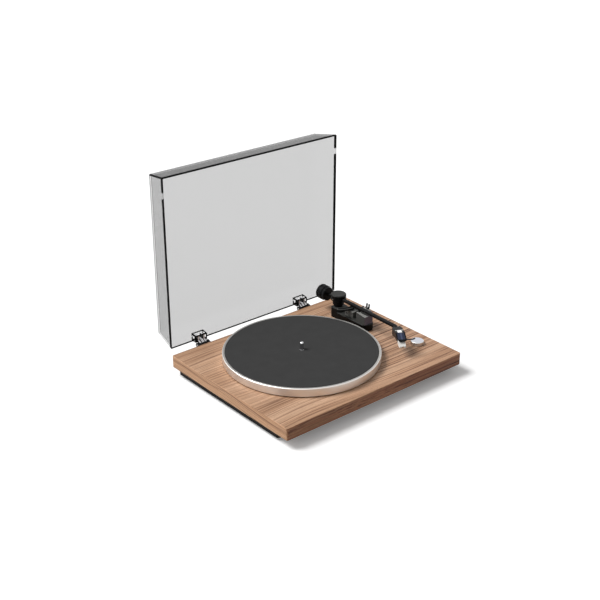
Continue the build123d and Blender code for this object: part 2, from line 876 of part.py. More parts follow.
with BuildPart() as drive_belt:
    add(belt_loop(running + belt_thickness))
    extrude(amount=belt_height)
    add(belt_loop(running))
    extrude(amount=belt_height, mode=Mode.SUBTRACT)
save(drive_belt.part, "drive_belt")

# Selector knob, its shaft and the rotary switch under the panel
switch_top = top_z - panel_under_top
with BuildPart() as selector_knob:
    with BuildSketch(Plane.XY.offset(top_z + knob_gap)):
        with Locations((knob_x, knob_y)):
            Circle(knob_radius)
    extrude(amount=knob_height)
    chamfer(selector_knob.edges().group_by(Axis.Z)[-1], break_edge)
    with BuildSketch(Plane.XY.offset(top_z + knob_gap)):
        with Locations((knob_x, knob_y)):
            Circle(knob_radius - knob_skin)
            Circle(knob_shaft_radius + 2.0, mode=Mode.SUBTRACT)
    extrude(amount=knob_height - 2.0, mode=Mode.SUBTRACT)
    with BuildSketch(Plane.XY.offset(top_z + knob_gap)):
        with Locations((knob_x, knob_y)):
            Circle(knob_shaft_radius + seat)
    extrude(amount=knob_height - 2.0, mode=Mode.SUBTRACT)
    with BuildSketch(Plane.XY.offset(top_z + knob_gap + knob_height)):
        with Locations((knob_x, knob_y + knob_radius - mark_from_edge)):
            SlotOverall(mark_length, mark_width, rotation=90)
    extrude(amount=-mark_depth, mode=Mode.SUBTRACT)
save(selector_knob.part, "selector_knob")

with BuildPart() as knob_shaft:
    with BuildSketch(Plane.XY.offset(switch_top - switch_height + 2.0)):
        with Locations((knob_x, knob_y)):
            Circle(knob_shaft_radius)
    extrude(amount=panel_under_top + switch_height - 2.0 + knob_gap + knob_height - 2.0 - seat)
save(knob_shaft.part, "knob_shaft")

with BuildPart() as rotary_switch:
    with BuildSketch(Plane.XY.offset(switch_top)):
        with Locations((knob_x, knob_y)):
            RectangleRounded(switch_size, switch_size, 2)
    extrude(amount=-switch_height)
    with BuildSketch(Plane.XY.offset(switch_top)):
        with Locations((knob_x, knob_y)):
            Circle(switch_bush_radius)
    extrude(amount=panel_under_top)
    with BuildSketch(Plane.XY.offset(top_z)):
        with Locations((knob_x, knob_y)):
            Circle(knob_shaft_radius + running)
    extrude(amount=-(panel_under_top + switch_height - 1.9), mode=Mode.SUBTRACT)
save(rotary_switch.part, "rotary_switch")

# Arm base: one moulding with a raised pedestal under the pivot
shaft_bore = swing_shaft_radius + 2.0
base_middle = (base_rear - base_front) / 2
base_length = base_front + base_rear
pedestal_middle = (base_rear - pedestal_front) / 2
base_nose = base_width / 2 - 2.0
skate_x = 7.5
skate_y = -(pedestal_front + skate_knob_radius + 1.0)
with BuildPart() as arm_base:
    with BuildSketch(level(base)) as base_outline:
        with Locations((0, base_middle)):
            Rectangle(base_width, base_length)
        fillet(base_outline.vertices().group_by(Axis.Y)[0], base_nose)
        fillet(base_outline.vertices().group_by(Axis.Y)[-1], base_corner)
    extrude(amount=base_height)
    fillet(arm_base.faces().sort_by(Axis.Z)[-1].edges(), base_bevel)
    with BuildSketch(level(base, z=base_height - 3)) as pedestal_outline:
        with Locations((0, pedestal_middle)):
            Rectangle(base_width, pedestal_front + base_rear)
        fillet(pedestal_outline.vertices().group_by(Axis.Y)[-1], base_corner)
        fillet(pedestal_outline.vertices().group_by(Axis.Y)[0], pedestal_corner)
    extrude(amount=pedestal_height - base_height + 3)
    fillet(arm_base.faces().sort_by(Axis.Z)[-1].edges(), pedestal_bevel)
    with BuildSketch(level(base, z=pedestal_height)):
        Circle(shaft_bore + seat)
    extrude(amount=-pedestal_height, mode=Mode.SUBTRACT)
    with BuildSketch(level(base)):
        with Locations(*arm_screw_spots):
            Circle(screw_radius + seat)
    extrude(amount=screw_in_base, mode=Mode.SUBTRACT)
    with BuildSketch(level(base, z=base_height)):
        with Locations((0, -lift_radius)):
            Circle(lift_rod_radius + running)
    extrude(amount=-rod_bore, mode=Mode.SUBTRACT)
    with BuildSketch(level(base, skate_x, skate_y, base_height)):
        Circle(skate_post_radius)
    extrude(amount=skate_knob_height / 2)
save(arm_base.part, "arm_base")

# Vertical bearing: a flanged bush in the pedestal, and the shaft that turns in it
with BuildPart() as arm_bearing:
    with BuildSketch(level(base, z=shaft_floor - 2.0)):
        Circle(shaft_bore)
    extrude(amount=pedestal_height - shaft_floor + 2.0)
    with BuildSketch(level(base, z=pedestal_height)):
        Circle(collar_radius)
    extrude(amount=housing_bottom - pedestal_height - collar_gap)
    chamfer(arm_bearing.edges().group_by(Axis.Z)[-1], break_edge)
    with BuildSketch(level(base, z=shaft_floor)):
        Circle(swing_shaft_radius + running)
    extrude(amount=housing_bottom - shaft_floor, mode=Mode.SUBTRACT)
save(arm_bearing.part, "arm_bearing")

with BuildPart() as swing_shaft:
    with BuildSketch(level(base, z=shaft_floor + running)):
        Circle(swing_shaft_radius)
    extrude(amount=housing_bottom + housing_floor - nib - shaft_floor - running)
save(swing_shaft.part, "swing_shaft")

# Pivot housing: a turned cap on a narrower stem, with windows for the tube and the rear stub
tube_window = tube_radius + window_gap
stub_window = stub_radius + window_gap
front_window_bottom = arm_z - tube_radius - window_gap
rise_at_wall = housing_radius * sin(radians(lift_tilt))
front_window_top = arm_z + tube_radius + rise_at_wall + window_gap
rear_window_top = arm_z - stub_drop + stub_radius + window_gap
with BuildPart() as pivot_housing:
    with BuildSketch(level(arm, z=cap_bottom)):
        Circle(housing_radius)
    extrude(amount=housing_top - cap_bottom)
    chamfer(pivot_housing.edges().group_by(Axis.Z)[-1], housing_chamfer)
    chamfer(pivot_housing.edges().group_by(Axis.Z)[0], housing_chamfer / 2)
    with BuildSketch(level(arm, z=housing_bottom)):
        Circle(stem_radius)
    extrude(amount=cap_bottom - housing_bottom)
    with BuildSketch(level(arm, z=housing_bottom + housing_floor)):
        Circle(stem_radius - stem_wall)
    extrude(amount=cap_bottom - housing_bottom, mode=Mode.SUBTRACT)
    with BuildSketch(level(arm, z=cap_bottom + housing_floor)):
        Circle(housing_radius - housing_wall)
    extrude(amount=housing_top - cap_bottom - housing_floor - housing_roof, mode=Mode.SUBTRACT)
    with BuildSketch(facing_front(arm)):
        with Locations((0, (front_window_bottom + front_window_top) / 2)):
            Rectangle(2 * tube_window, front_window_top - front_window_bottom)
    extrude(amount=housing_radius + 1, mode=Mode.SUBTRACT)
    with BuildSketch(facing_front(arm)):
        with Locations((0, (housing_bottom + housing_floor + rear_window_top) / 2)):
            Rectangle(2 * stub_window, rear_window_top - housing_bottom - housing_floor)
    extrude(amount=-(housing_radius + 1), mode=Mode.SUBTRACT)
    with BuildSketch(facing_side(arm, z=arm_z)):
        Circle(tilt_axle_radius + 2.0)
    extrude(amount=housing_radius - 1.0, both=True)
    with BuildSketch(facing_side(arm, z=arm_z)):
        Rectangle(4 * tilt_axle_radius + 6, 4 * tilt_axle_radius + 6)
    extrude(amount=block_width / 2 + loose, both=True, mode=Mode.SUBTRACT)
    with BuildSketch(facing_side(arm, z=arm_z)):
        Circle(tilt_axle_radius + running)
    extrude(amount=housing_radius + 1, both=True, mode=Mode.SUBTRACT)
    with BuildSketch(level(arm, z=housing_bottom - 1)):
        Circle(swing_shaft_radius + seat)
    extrude(amount=1 + housing_floor - nib, mode=Mode.SUBTRACT)
save(pivot_housing.part, "pivot_housing")

with BuildPart() as tilt_axle:
    with BuildSketch(facing_side(arm, z=arm_z)):
        Circle(tilt_axle_radius)
    extrude(amount=housing_radius - 0.4, both=True)
save(tilt_axle.part, "tilt_axle")

# Pivot block that carries the tube in front and the stub behind
stub_z = arm_z - stub_drop
tube_bore = tube_radius - tube_wall
with BuildPart() as pivot_block:
    with BuildSketch(facing_side(arm, z=arm_z)):
        with Locations((0, (block_above - block_below) / 2)):
            RectangleRounded(block_length, block_above + block_below, 1.2)
    extrude(amount=block_width / 2, both=True)
    with BuildSketch(facing_front(arm, y=-block_length / 2, z=arm_z)):
        Circle(tube_bore - seat)
    extrude(amount=spigot_length)
    with BuildSketch(facing_side(arm, z=arm_z)):
        Circle(tilt_axle_radius + running)
    extrude(amount=block_width, both=True, mode=Mode.SUBTRACT)
    with BuildSketch(facing_front(arm, y=block_length / 2, z=stub_z)):
        Circle(stub_radius + seat)
    extrude(amount=stub_socket, mode=Mode.SUBTRACT)
save(pivot_block.part, "pivot_block")

# Arm tube, bent at its elbow and turned down at both ends to plug in
tube_start = block_length / 2 + seat
with BuildPart() as arm_tube:
    with BuildSketch(facing_front(arm, y=-tube_start, z=arm_z)):
        Circle(tube_radius)
    extrude(amount=elbow_reach - tube_start - 3.0)
    with BuildSketch(facing_front(arm, y=-tube_start, z=arm_z)):
        Circle(tube_bore)
    extrude(amount=elbow_reach - tube_start - elbow_solid, mode=Mode.SUBTRACT)
    with Locations(elbow_point + Vector(0, 0, arm_z)):
        Sphere(tube_radius)
    with BuildSketch(facing_front(arm, y=-(elbow_reach - 3.0), z=arm_z)):
        Circle(tube_radius)
    extrude(amount=3.0)
    with BuildSketch(facing_front(shell, z=arm_z)):
        Circle(tube_radius)
    extrude(amount=shell_start - seat)
    with BuildSketch(facing_front(shell, z=arm_z)):
        Circle(spigot_radius)
    extrude(amount=shell_start + spigot_length)
save(arm_tube.part, "arm_tube")

# Rear stub, counterweight and its dial
stub_start = block_length / 2 - stub_socket + seat
with BuildPart() as rear_stub:
    with BuildSketch(facing_front(arm, y=stub_start, z=stub_z)):
        Circle(stub_radius)
    extrude(amount=-(stub_end - stub_start))
    chamfer(rear_stub.edges().filter_by(GeomType.CIRCLE).sort_by(Axis.Y)[-1], fine_chamfer)
save(rear_stub.part, "rear_stub")

weight_front = weight_middle - (weight_length + dial_length) / 2
weight_rear = weight_front + dial_length + weight_length
with BuildPart() as weight_bush:
    with BuildSketch(facing_front(arm, y=weight_front, z=stub_z)):
        Circle(weight_bush_radius)
        Circle(stub_radius + running, mode=Mode.SUBTRACT)
    extrude(amount=-(weight_rear - weight_front))
save(weight_bush.part, "counterweight_bush")

groove_y = weight_rear - weight_length * weight_groove_place
with BuildPart() as counterweight:
    with BuildSketch(facing_front(arm, y=weight_front + dial_length + loose, z=stub_z)):
        Circle(weight_radius)
    extrude(amount=-(weight_length - loose))
    chamfer(counterweight.edges().filter_by(GeomType.CIRCLE), 1.2)
    with BuildSketch(facing_front(arm, y=groove_y, z=stub_z)):
        Circle(weight_radius + 1)
        Circle(weight_radius - weight_groove, mode=Mode.SUBTRACT)
    extrude(amount=-2.0, mode=Mode.SUBTRACT)
    with BuildSketch(facing_front(arm, z=stub_z)):
        Circle(weight_bush_radius + running)
    extrude(amount=-(weight_rear + 1), mode=Mode.SUBTRACT)
save(counterweight.part, "counterweight")

with BuildPart() as force_dial:
    with BuildSketch(facing_front(arm, y=weight_front, z=stub_z)):
        Circle(dial_radius)
        with PolarLocations(dial_radius + 0.4, dial_notches):
            Circle(dial_notch_radius, mode=Mode.SUBTRACT)
        Circle(weight_bush_radius + running, mode=Mode.SUBTRACT)
    extrude(amount=-dial_length)
save(force_dial.part, "force_dial")

# Headshell: a moulded channel whose top slopes down at the front
shell_top_z = arm_z + shell_top
shell_wall_z = shell_top_z - shell_wall_drop
nose_z = shell_top_z - shell_nose_drop
half_shell = shell_width / 2
with BuildPart() as headshell:
    with BuildSketch(facing_side(shell)):
        with BuildLine():
            Polyline(
                (shell_start, shell_top_z - 1.0),
                (shell_start + 3.0, shell_top_z),
                (shell_crest, shell_top_z),
                (shell_nose, nose_z),
                (shell_nose - 2.0, nose_z - 1.0),
                (shell_taper_left, shell_wall_z + shell_wall_rise),
                (shell_start + shell_shoulder, shell_wall_z),
                (shell_start + shell_toe, shell_wall_z + 1.5),
                (shell_start, arm_z - tube_radius),
                close=True,
            )
        make_face()
    extrude(amount=half_shell, both=True)
    with BuildSketch(level(shell, z=shell_top_z + 1)):
        with BuildLine():
            Polyline(
                (-tube_radius - 0.6, -shell_start + 0.1),
                (-half_shell, -shell_full_width),
                (-half_shell, -shell_taper_left),
                (-nose_half_width, -shell_nose - 0.1),
                (nose_half_width, -shell_nose - 0.1),
                (half_shell, -shell_taper_right),
                (half_shell, -shell_full_width),
                (tube_radius + 0.6, -shell_start + 0.1),
                close=True,
            )
        make_face()
    extrude(amount=-20, mode=Mode.INTERSECT)
    with BuildSketch(facing_side(shell)):
        with BuildLine():
            Polyline(
                (shell_start + wrist_length, shell_top_z - shell_skin),
                (shell_crest - shell_skin_front, shell_top_z - shell_skin),
                (shell_nose - shell_skin_front, nose_z - nib),
                (shell_nose - shell_skin_front, shell_wall_z - 1.0),
                (shell_start + 3.0, shell_wall_z - 1.0),
                (shell_start + 3.0, arm_z - tube_radius),
                (shell_start + wrist_length, arm_z - tube_radius),
                close=True,
            )
        make_face()
    extrude(amount=cartridge_width / 2 + 0.3, both=True, mode=Mode.SUBTRACT)
    with BuildSketch(level(shell, z=shell_top_z)):
        with Locations(*cartridge_screw_spots):
            SlotOverall(*screw_slot, rotation=90)
    extrude(amount=-shell_skin, mode=Mode.SUBTRACT)
    with BuildSketch(facing_front(shell, y=-shell_start, z=arm_z)):
        Circle(spigot_radius + seat)
    extrude(amount=spigot_length + loose, mode=Mode.SUBTRACT)
save(headshell.part, "headshell")

# Finger lift, a thin tab curling up at its end
finger_z = nose_z + 1.5
with BuildPart() as finger_lift:
    with BuildSketch(facing_front(shell, y=-(finger_start - finger_start_in_wall), z=finger_z)):
        with BuildLine():
            finger_line = FilletPolyline(
                (half_shell + seat, 0),
                (half_shell + finger_length * 0.7, -finger_curl),
                (half_shell + finger_length, finger_curl / 2),
                radius=finger_bend,
            )
            offset(finger_line, amount=finger_half_thickness)
        make_face()
    extrude(amount=finger_width)
    cut_side = Plane(
        origin=shell.from_local_coords((half_shell + seat, 0, 0)), x_dir=-shell.y_dir, z_dir=shell.x_dir
    )
    split(bisect_by=cut_side, keep=Keep.TOP)
save(finger_lift.part, "finger_lift")

# Cartridge body, its screws, and the stylus assembly
cartridge_slope = (cartridge_end - shell_crest + 2.0) * shell_nose_drop / (shell_nose - shell_crest)
with BuildPart() as cartridge:
    with BuildSketch(facing_side(shell)):
        with BuildLine():
            Polyline(
                (cartridge_start, shell_top_z - shell_skin - seat),
                (shell_crest - 2.0, shell_top_z - shell_skin - seat),
                (cartridge_end, shell_top_z - shell_skin - cartridge_slope),
                (cartridge_end, cartridge_bottom),
                (cartridge_end - 12.0, cartridge_bottom),
                (cartridge_start, cartridge_bottom + 2.5),
                close=True,
            )
        make_face()
    extrude(amount=cartridge_width / 2, both=True)
    with BuildSketch(level(shell, z=shell_top_z - shell_skin - seat)):
        with Locations(*cartridge_screw_spots):
            Circle(cartridge_screw_radius + seat)
    extrude(amount=-5.0, mode=Mode.SUBTRACT)
    with BuildSketch(facing_front(shell, y=-cartridge_start, z=cartridge_bottom + 6.0)):
        with GridLocations(2.4, 1, 4, 1):
            Circle(pin_circle_radius)
    extrude(amount=-4.0)
save(cartridge.part, "cartridge")

with BuildPart() as cartridge_screws:
    with BuildSketch(level(shell, z=shell_top_z)):
        with Locations(*cartridge_screw_spots):
            Circle(cartridge_head_radius)
    extrude(amount=cartridge_head)
    with BuildSketch(level(shell, z=shell_top_z)):
        with Locations(*cartridge_screw_spots):
            Circle(cartridge_screw_radius)
    extrude(amount=-(shell_skin + 4.0))
save(cartridge_screws.part, "cartridge_screws")

holder_start = cartridge_end + seat
holder_top = cartridge_bottom + 3.5
holder_front = stylus_reach - 1.0
holder_bottom = stylus_tip + 0.6
with BuildPart() as stylus_holder:
    with BuildSketch(facing_side(shell)):
        with BuildLine():
            Polyline(
                (holder_start, holder_top),
                (shell_nose - 3.0, holder_top - 1.0),
                (holder_front, holder_bottom + 3.0),
                (holder_front, holder_bottom),
                (holder_start + 5.0, holder_bottom),
                (holder_start, cartridge_bottom),
                close=True,
            )
        make_face()
    extrude(amount=stylus_width / 2, both=True)
    with BuildSketch(level(shell, z=stylus_tip)):
        with Locations((0, -(holder_front - notch_depth / 2 + 0.5))):
            Rectangle(stylus_notch, notch_depth + 1.0)
    extrude(amount=holder_bottom - stylus_tip + notch_height, mode=Mode.SUBTRACT)
save(stylus_holder.part, "stylus_holder")

rod_foot = (holder_front - notch_depth + seat, holder_bottom + notch_height - 0.6)
rod_tip = (stylus_reach, stylus_tip + 1.0)
with BuildPart() as cantilever:
    with BuildSketch(facing_side(shell)):
        with BuildLine():
            Polyline(
                (rod_foot[0], rod_foot[1] + 0.3),
                (rod_tip[0], rod_tip[1] + 0.3),
                (rod_tip[0] + 0.3, rod_tip[1] - 0.2),
                (rod_tip[0] - 0.1, stylus_tip),
                (rod_tip[0] - 0.5, rod_tip[1] - 0.3),
                (rod_foot[0], rod_foot[1] - 0.3),
                close=True,
            )
        make_face()
    extrude(amount=0.35, both=True)
save(cantilever.part, "cantilever")

# Lift: the unit on the base, and the curved bar that raises the tube
bar_inner = lift_radius - lift_bar_width / 2
bar_outer = lift_radius + lift_bar_width / 2
unit_centre = -(cue_unit_front + 8.0 + cue_unit_rear) / 2
unit_length = cue_unit_front + 8.0 - cue_unit_rear
lever_y = -34.0
rod_floor = base_height - 5.5
with BuildPart() as cue_unit:
    with BuildSketch(level(base, z=base_height)):
        with Locations((-1.0, unit_centre)):
            RectangleRounded(cue_unit_width, unit_length, 2)
    extrude(amount=cue_unit_top - base_height)
    fillet(cue_unit.faces().sort_by(Axis.Z)[-1].edges(), 1.0)
    with BuildSketch(level(base, z=cue_unit_top)):
        with Locations((0, -lift_radius)):
            Circle(lift_rod_radius + running)
    extrude(amount=-(cue_unit_top - base_height), mode=Mode.SUBTRACT)
    with BuildSketch(facing_side(base, z=lever_z)):
        with Locations((-lever_y, 0)):
            Circle(lever_axle_radius + running)
    extrude(amount=cue_unit_width, both=True, mode=Mode.SUBTRACT)
save(cue_unit.part, "cue_unit")


def sector(radius, first, last):
    """Points of a wedge about the pivot, wider than the bar, between two turns from the tube."""
    reach = 2 * radius
    angles = (first, (first + last) / 2, last)
    return [(0, 0)] + [(-reach * sin(radians(a)), -reach * cos(radians(a))) for a in angles]


with BuildPart() as cue_lift:
    with BuildSketch(level(arm, z=lift_bar_bottom)):
        Circle(bar_outer)
        Circle(bar_inner, mode=Mode.SUBTRACT)
        with BuildLine(mode=Mode.PRIVATE) as wedge:
            Polyline(*sector(bar_outer, -8.0, lift_sweep), close=True)
        add(make_face(wedge.edges(), mode=Mode.PRIVATE), mode=Mode.INTERSECT)
    extrude(amount=lift_bar_top - lift_bar_bottom)
    with BuildSketch(level(base, z=rod_floor)):
        with Locations((0, -lift_radius)):
            Circle(lift_rod_radius)
    extrude(amount=lift_bar_bottom + 1.0 - rod_floor)
save(cue_lift.part, "cue_lift")

with BuildPart() as lift_pad_part:
    with BuildSketch(level(arm, z=lift_bar_top)):
        Circle(lift_radius + 2.0)
        Circle(lift_radius - 2.0, mode=Mode.SUBTRACT)
        with BuildLine(mode=Mode.PRIVATE) as wedge:
            Polyline(*sector(bar_outer, -5.0, lift_sweep - 3.0), close=True)
        add(make_face(wedge.edges(), mode=Mode.PRIVATE), mode=Mode.INTERSECT)
    extrude(amount=lift_pad)
save(lift_pad_part.part, "lift_pad")

# Lift lever on the base's right side, moulded with the axle that runs through the unit
lever_x = base_width / 2 + 1.0
axle_left = -cue_unit_width / 2
with BuildPart() as cue_lever:
    with BuildSketch(facing_side(base, x=lever_x, y=lever_y, z=lever_z)):
        Circle(lever_radius)
        with Locations((lever_reach / 2, 0)):
            Rectangle(lever_reach, lever_arm_width)
        with Locations((lever_reach, 0)):
            Circle(2.5)
    extrude(amount=-lever_thickness)
    with BuildSketch(facing_side(base, x=axle_left, y=lever_y, z=lever_z)):
        Circle(lever_axle_radius)
    extrude(amount=-(lever_x - axle_left))
    with BuildSketch(level(base, x=lever_x + 5.0, y=lever_y - lever_reach + 4.0, z=lever_z)):
        RectangleRounded(*lever_pad_size)
    extrude(amount=2.4)
save(cue_lever.part, "cue_lever")

# Arm rest: a channel on the base's nose, with a lug for the latch on its higher side
rest_x = -rest_from_pivot * tan(radians(arm_toe))
left_x = rest_x - rest_inner / 2 - cheek
right_x = rest_x + rest_inner / 2
rest_middle = -rest_from_pivot
lug_x = right_x + cheek / 2 + 0.4
lug_y = rest_middle + 1.5
with BuildPart() as arm_rest:
    with BuildSketch(level(base, z=base_height)):
        with Locations((rest_x, rest_middle)):
            Rectangle(rest_inner + 2 * cheek, rest_length)
    extrude(amount=rest_floor - base_height)
    with BuildSketch(level(base, z=rest_floor)):
        with Locations((rest_x, rest_middle)):
            Rectangle(rest_rib, rest_length - 6.0)
    extrude(amount=arm_z - tube_radius - loose - rest_floor)
    with BuildSketch(facing_side(base, x=left_x)):
        with BuildLine():
            Polyline(
                (rest_from_pivot - rest_length / 2, base_height),
                (rest_from_pivot + rest_length / 2, base_height),
                (rest_from_pivot + rest_length / 2, rest_left_height - 3.0),
                (rest_from_pivot - rest_length / 2, rest_left_height),
                close=True,
            )
        make_face()
    extrude(amount=-cheek)
    with BuildSketch(facing_side(base, x=right_x)):
        with BuildLine():
            Polyline(
                (rest_from_pivot - rest_length / 2 - 3.0, base_height),
                (rest_from_pivot + rest_length / 2, base_height),
                (rest_from_pivot + rest_length / 2, rest_right_height - 5.0),
                (rest_from_pivot + rest_length / 2 - 5.0, rest_right_height),
                (rest_from_pivot - rest_length / 2 - 1.0, rest_right_height),
                (rest_from_pivot - rest_length / 2 - 1.0, rest_right_height + 2.0),
                (rest_from_pivot - rest_length / 2 - 3.0, rest_right_height + 2.0),
                close=True,
            )
        make_face()
    extrude(amount=-cheek)
    with BuildSketch(facing_front(base, x=lug_x, y=lug_y + latch_lug / 2, z=latch_z)):
        Circle(latch_hub_radius)
        with Locations((0, (rest_right_height - 1.0 - latch_z) / 2)):
            Rectangle(2 * latch_hub_radius, latch_z - rest_right_height + 1.0)
        Circle(latch_pin_radius + running, mode=Mode.SUBTRACT)
    extrude(amount=latch_lug)
save(arm_rest.part, "arm_rest")

# Latch: two thin arms on one pin, which swing over the tube and hold it down
latch_length = latch_top - latch_z
arm_middle = (latch_lug + latch_arm) / 2 + loose
with BuildPart() as rest_latch:
    for y in (lug_y - arm_middle, lug_y + arm_middle):
        with BuildSketch(facing_front(base, x=lug_x, y=y + latch_arm / 2, z=latch_z)):
            Circle(latch_hub_radius)
            with Locations((loose + latch_arm_width / 2, latch_length / 2)):
                Rectangle(latch_arm_width, latch_length)
        extrude(amount=latch_arm)
    with BuildSketch(facing_front(base, x=lug_x, y=lug_y + arm_middle, z=latch_z)):
        Circle(latch_pin_radius)
    extrude(amount=2 * arm_middle)
save(rest_latch.part, "rest_latch")

# Side-force knob beside the pivot
with BuildPart() as skate_knob:
    with BuildSketch(level(base, skate_x, skate_y, base_height + loose)):
        Circle(skate_knob_radius)
        with PolarLocations(skate_knob_radius + 0.3, knob_notches):
            Circle(pin_circle_radius, mode=Mode.SUBTRACT)
    extrude(amount=skate_knob_height)
    with BuildSketch(level(base, skate_x, skate_y, base_height + loose)):
        Circle(skate_post_radius + running)
    extrude(amount=skate_knob_height / 2, mode=Mode.SUBTRACT)
save(skate_knob.part, "anti_skate_knob")

# Dust cover, moulded in one piece with its two hinge sleeves
cover_plane = Plane(origin=(0, rim_y, rim_middle), x_dir=(-1, 0, 0), z_dir=(0, 1, 0))
inner_width = cover_width - 2 * cover_wall
inner_length = cover_length - 2 * cover_wall
hinge_xs = {"left": hinge_left_x, "right": hinge_right_x}
sleeve_bottom = top_z + sleeve_lift
sleeve_top = sleeve_bottom + sleeve_height
sleeve_middle = sleeve_bottom + sleeve_height / 2


def sleeve_side(x):
    """An upright plane along the deck at a hinge, whose own X and Y are the deck's Y and Z."""
    return Plane(origin=(x, 0, 0), x_dir=(0, 1, 0), z_dir=(1, 0, 0))


with BuildPart() as dust_cover:
    with BuildSketch(cover_plane):
        Rectangle(cover_width, cover_length)
    extrude(amount=cover_height, taper=draft_angle)
    fillet(dust_cover.edges().filter_by(lambda edge: abs(edge.tangent_at(0.5).Y) > 0.5), cover_corner)
    fillet(dust_cover.faces().sort_by(Axis.Y)[-1].edges(), 2.0)
    with BuildSketch(cover_plane):
        Rectangle(inner_width, inner_length)
    extrude(amount=cover_height - cover_wall, taper=draft_angle, mode=Mode.SUBTRACT)
    for x in hinge_xs.values():
        with BuildSketch(sleeve_side(x)):
            with BuildLine():
                Polyline(
                    (rim_y, sleeve_bottom),
                    (rim_y + sleeve_length, sleeve_bottom),
                    (rim_y + sleeve_length, sleeve_top + sleeve_rise),
                    (rim_y, sleeve_top),
                    close=True,
                )
            make_face()
        extrude(amount=sleeve_width / 2, both=True)
    for x in hinge_xs.values():
        with BuildSketch(Plane(origin=(x, rim_y, sleeve_middle), x_dir=(-1, 0, 0), z_dir=(0, 1, 0))):
            Rectangle(sleeve_width - 2 * sleeve_wall, sleeve_height - 2 * sleeve_wall)
        extrude(amount=sleeve_length - sleeve_wall, mode=Mode.SUBTRACT)
save(dust_cover.part, "dust_cover")

with BuildPart() as cover_pads:
    with BuildSketch(cover_plane):
        with Locations((0, cover_length / 2 - pad_from_front)):
            with GridLocations(cover_width - cover_wall, 1, 2, 1):
                Rectangle(cover_wall - 2 * 0.2, pad_length)
    extrude(amount=-pad_thickness)
save(cover_pads.part, "cover_pads")

# Hinges: a bracket on the plinth, a pin, and a leaf pushed into the sleeve
bracket_top = top_z - 0.5
leaf_floor = sleeve_bottom + sleeve_wall + 0.1
leaf_width = sleeve_width - 2 * sleeve_wall - 2 * leaf_gap
leaf_top = sleeve_top - sleeve_wall - leaf_gap
barrel_half = sleeve_width / 2 - ear_thickness - loose
for side, x in hinge_xs.items():
    hinge_plane = sleeve_side(x)
    with BuildPart() as bracket:
        with BuildSketch(hinge_plane):
            with Locations((hinge_y, hinge_z)):
                Circle(ear_radius)
            with Locations((plinth_rear + bracket_thickness / 2, bracket_top - bracket_flange / 2)):
                Rectangle(bracket_thickness, bracket_flange)
            make_hull()
        extrude(amount=sleeve_width / 2, both=True)
        with BuildSketch(hinge_plane):
            with Locations((plinth_rear + bracket_thickness / 2 + 10, hinge_z + 2.0)):
                Rectangle(bracket_thickness + 20, 2 * ear_radius + 9.0)
        extrude(amount=barrel_half + loose, both=True, mode=Mode.SUBTRACT)
        bracket_back = Plane(origin=(x, plinth_rear, bracket_top - bracket_lip), x_dir=(-1, 0, 0), z_dir=(0, 1, 0))
        with BuildSketch(bracket_back) as back:
            with Locations((0, -(bracket_height - bracket_lip) / 2)):
                Rectangle(sleeve_width, bracket_height - bracket_lip)
            fillet(back.vertices().group_by(Axis.Z)[0], bracket_corner)
        extrude(amount=bracket_thickness)
        with BuildSketch(Plane(origin=(x, plinth_rear, bracket_top), x_dir=(-1, 0, 0), z_dir=(0, 1, 0))):
            with GridLocations(bracket_screw_spacing, 1, 2, 1):
                with Locations((0, -bracket_height + bracket_screw_rise)):
                    Circle(screw_radius + loose)
        extrude(amount=bracket_thickness, mode=Mode.SUBTRACT)
        with BuildSketch(hinge_plane):
            with Locations((hinge_y, hinge_z)):
                Circle(hinge_pin_radius + seat)
        extrude(amount=sleeve_width, both=True, mode=Mode.SUBTRACT)
    save(bracket.part, f"hinge_bracket_{side}")

    with BuildPart() as leaf:
        with BuildSketch(hinge_plane):
            with Locations((hinge_y, hinge_z)):
                Circle(barrel_radius)
            with BuildLine():
                Polyline(
                    (hinge_y, hinge_z),
                    (rim_y - loose, hinge_z),
                    (rim_y - loose, leaf_floor),
                    (rim_y + 0.6, leaf_floor),
                    (rim_y + 0.6, hinge_z + leaf_reach + 1.6),
                    (hinge_y, hinge_z + leaf_reach - 1.0),
                    close=True,
                )
            make_face()
        extrude(amount=barrel_half, both=True)
        with BuildSketch(Plane(origin=(x, rim_y + loose, leaf_floor + leaf_flange / 2), x_dir=(-1, 0, 0), z_dir=(0, 1, 0))):
            Rectangle(leaf_width, leaf_flange)
        extrude(amount=sleeve_length - sleeve_wall - 0.6)
        leaf_middle = (leaf_floor + leaf_top) / 2
        with BuildSketch(Plane(origin=(x, rim_y + loose, leaf_middle), x_dir=(-1, 0, 0), z_dir=(0, 1, 0))):
            with GridLocations(leaf_rib_spacing, 1, 2, 1):
                Rectangle(4.0, leaf_top - leaf_floor)
        extrude(amount=sleeve_length - sleeve_wall - 0.6)
        with BuildSketch(hinge_plane):
            with Locations((hinge_y, hinge_z)):
                Circle(hinge_pin_radius + running)
        extrude(amount=sleeve_width, both=True, mode=Mode.SUBTRACT)
    save(leaf.part, f"hinge_leaf_{side}")

with BuildPart() as hinge_pins:
    for x in hinge_xs.values():
        with BuildSketch(sleeve_side(x)):
            with Locations((hinge_y, hinge_z)):
                Circle(hinge_pin_radius)
        extrude(amount=sleeve_width / 2, both=True)
save(hinge_pins.part, "hinge_pins")

bracket_screws = []
for x in hinge_xs.values():
    for dx in (-bracket_screw_spacing / 2, bracket_screw_spacing / 2):
        spot = (x + dx, plinth_rear + bracket_thickness, bracket_top - bracket_height + bracket_screw_rise)
        with BuildPart() as one_screw:
            with BuildSketch(Plane(origin=spot, x_dir=(-1, 0, 0), z_dir=(0, 1, 0))):
                Circle(2.6)
            extrude(amount=1.4)
            with BuildSketch(Plane(origin=spot, x_dir=(-1, 0, 0), z_dir=(0, 1, 0))):
                Circle(screw_radius)
            extrude(amount=-bracket_thickness)
        bracket_screws.append(one_screw.part)
save(Compound(children=bracket_screws), "hinge_screws")
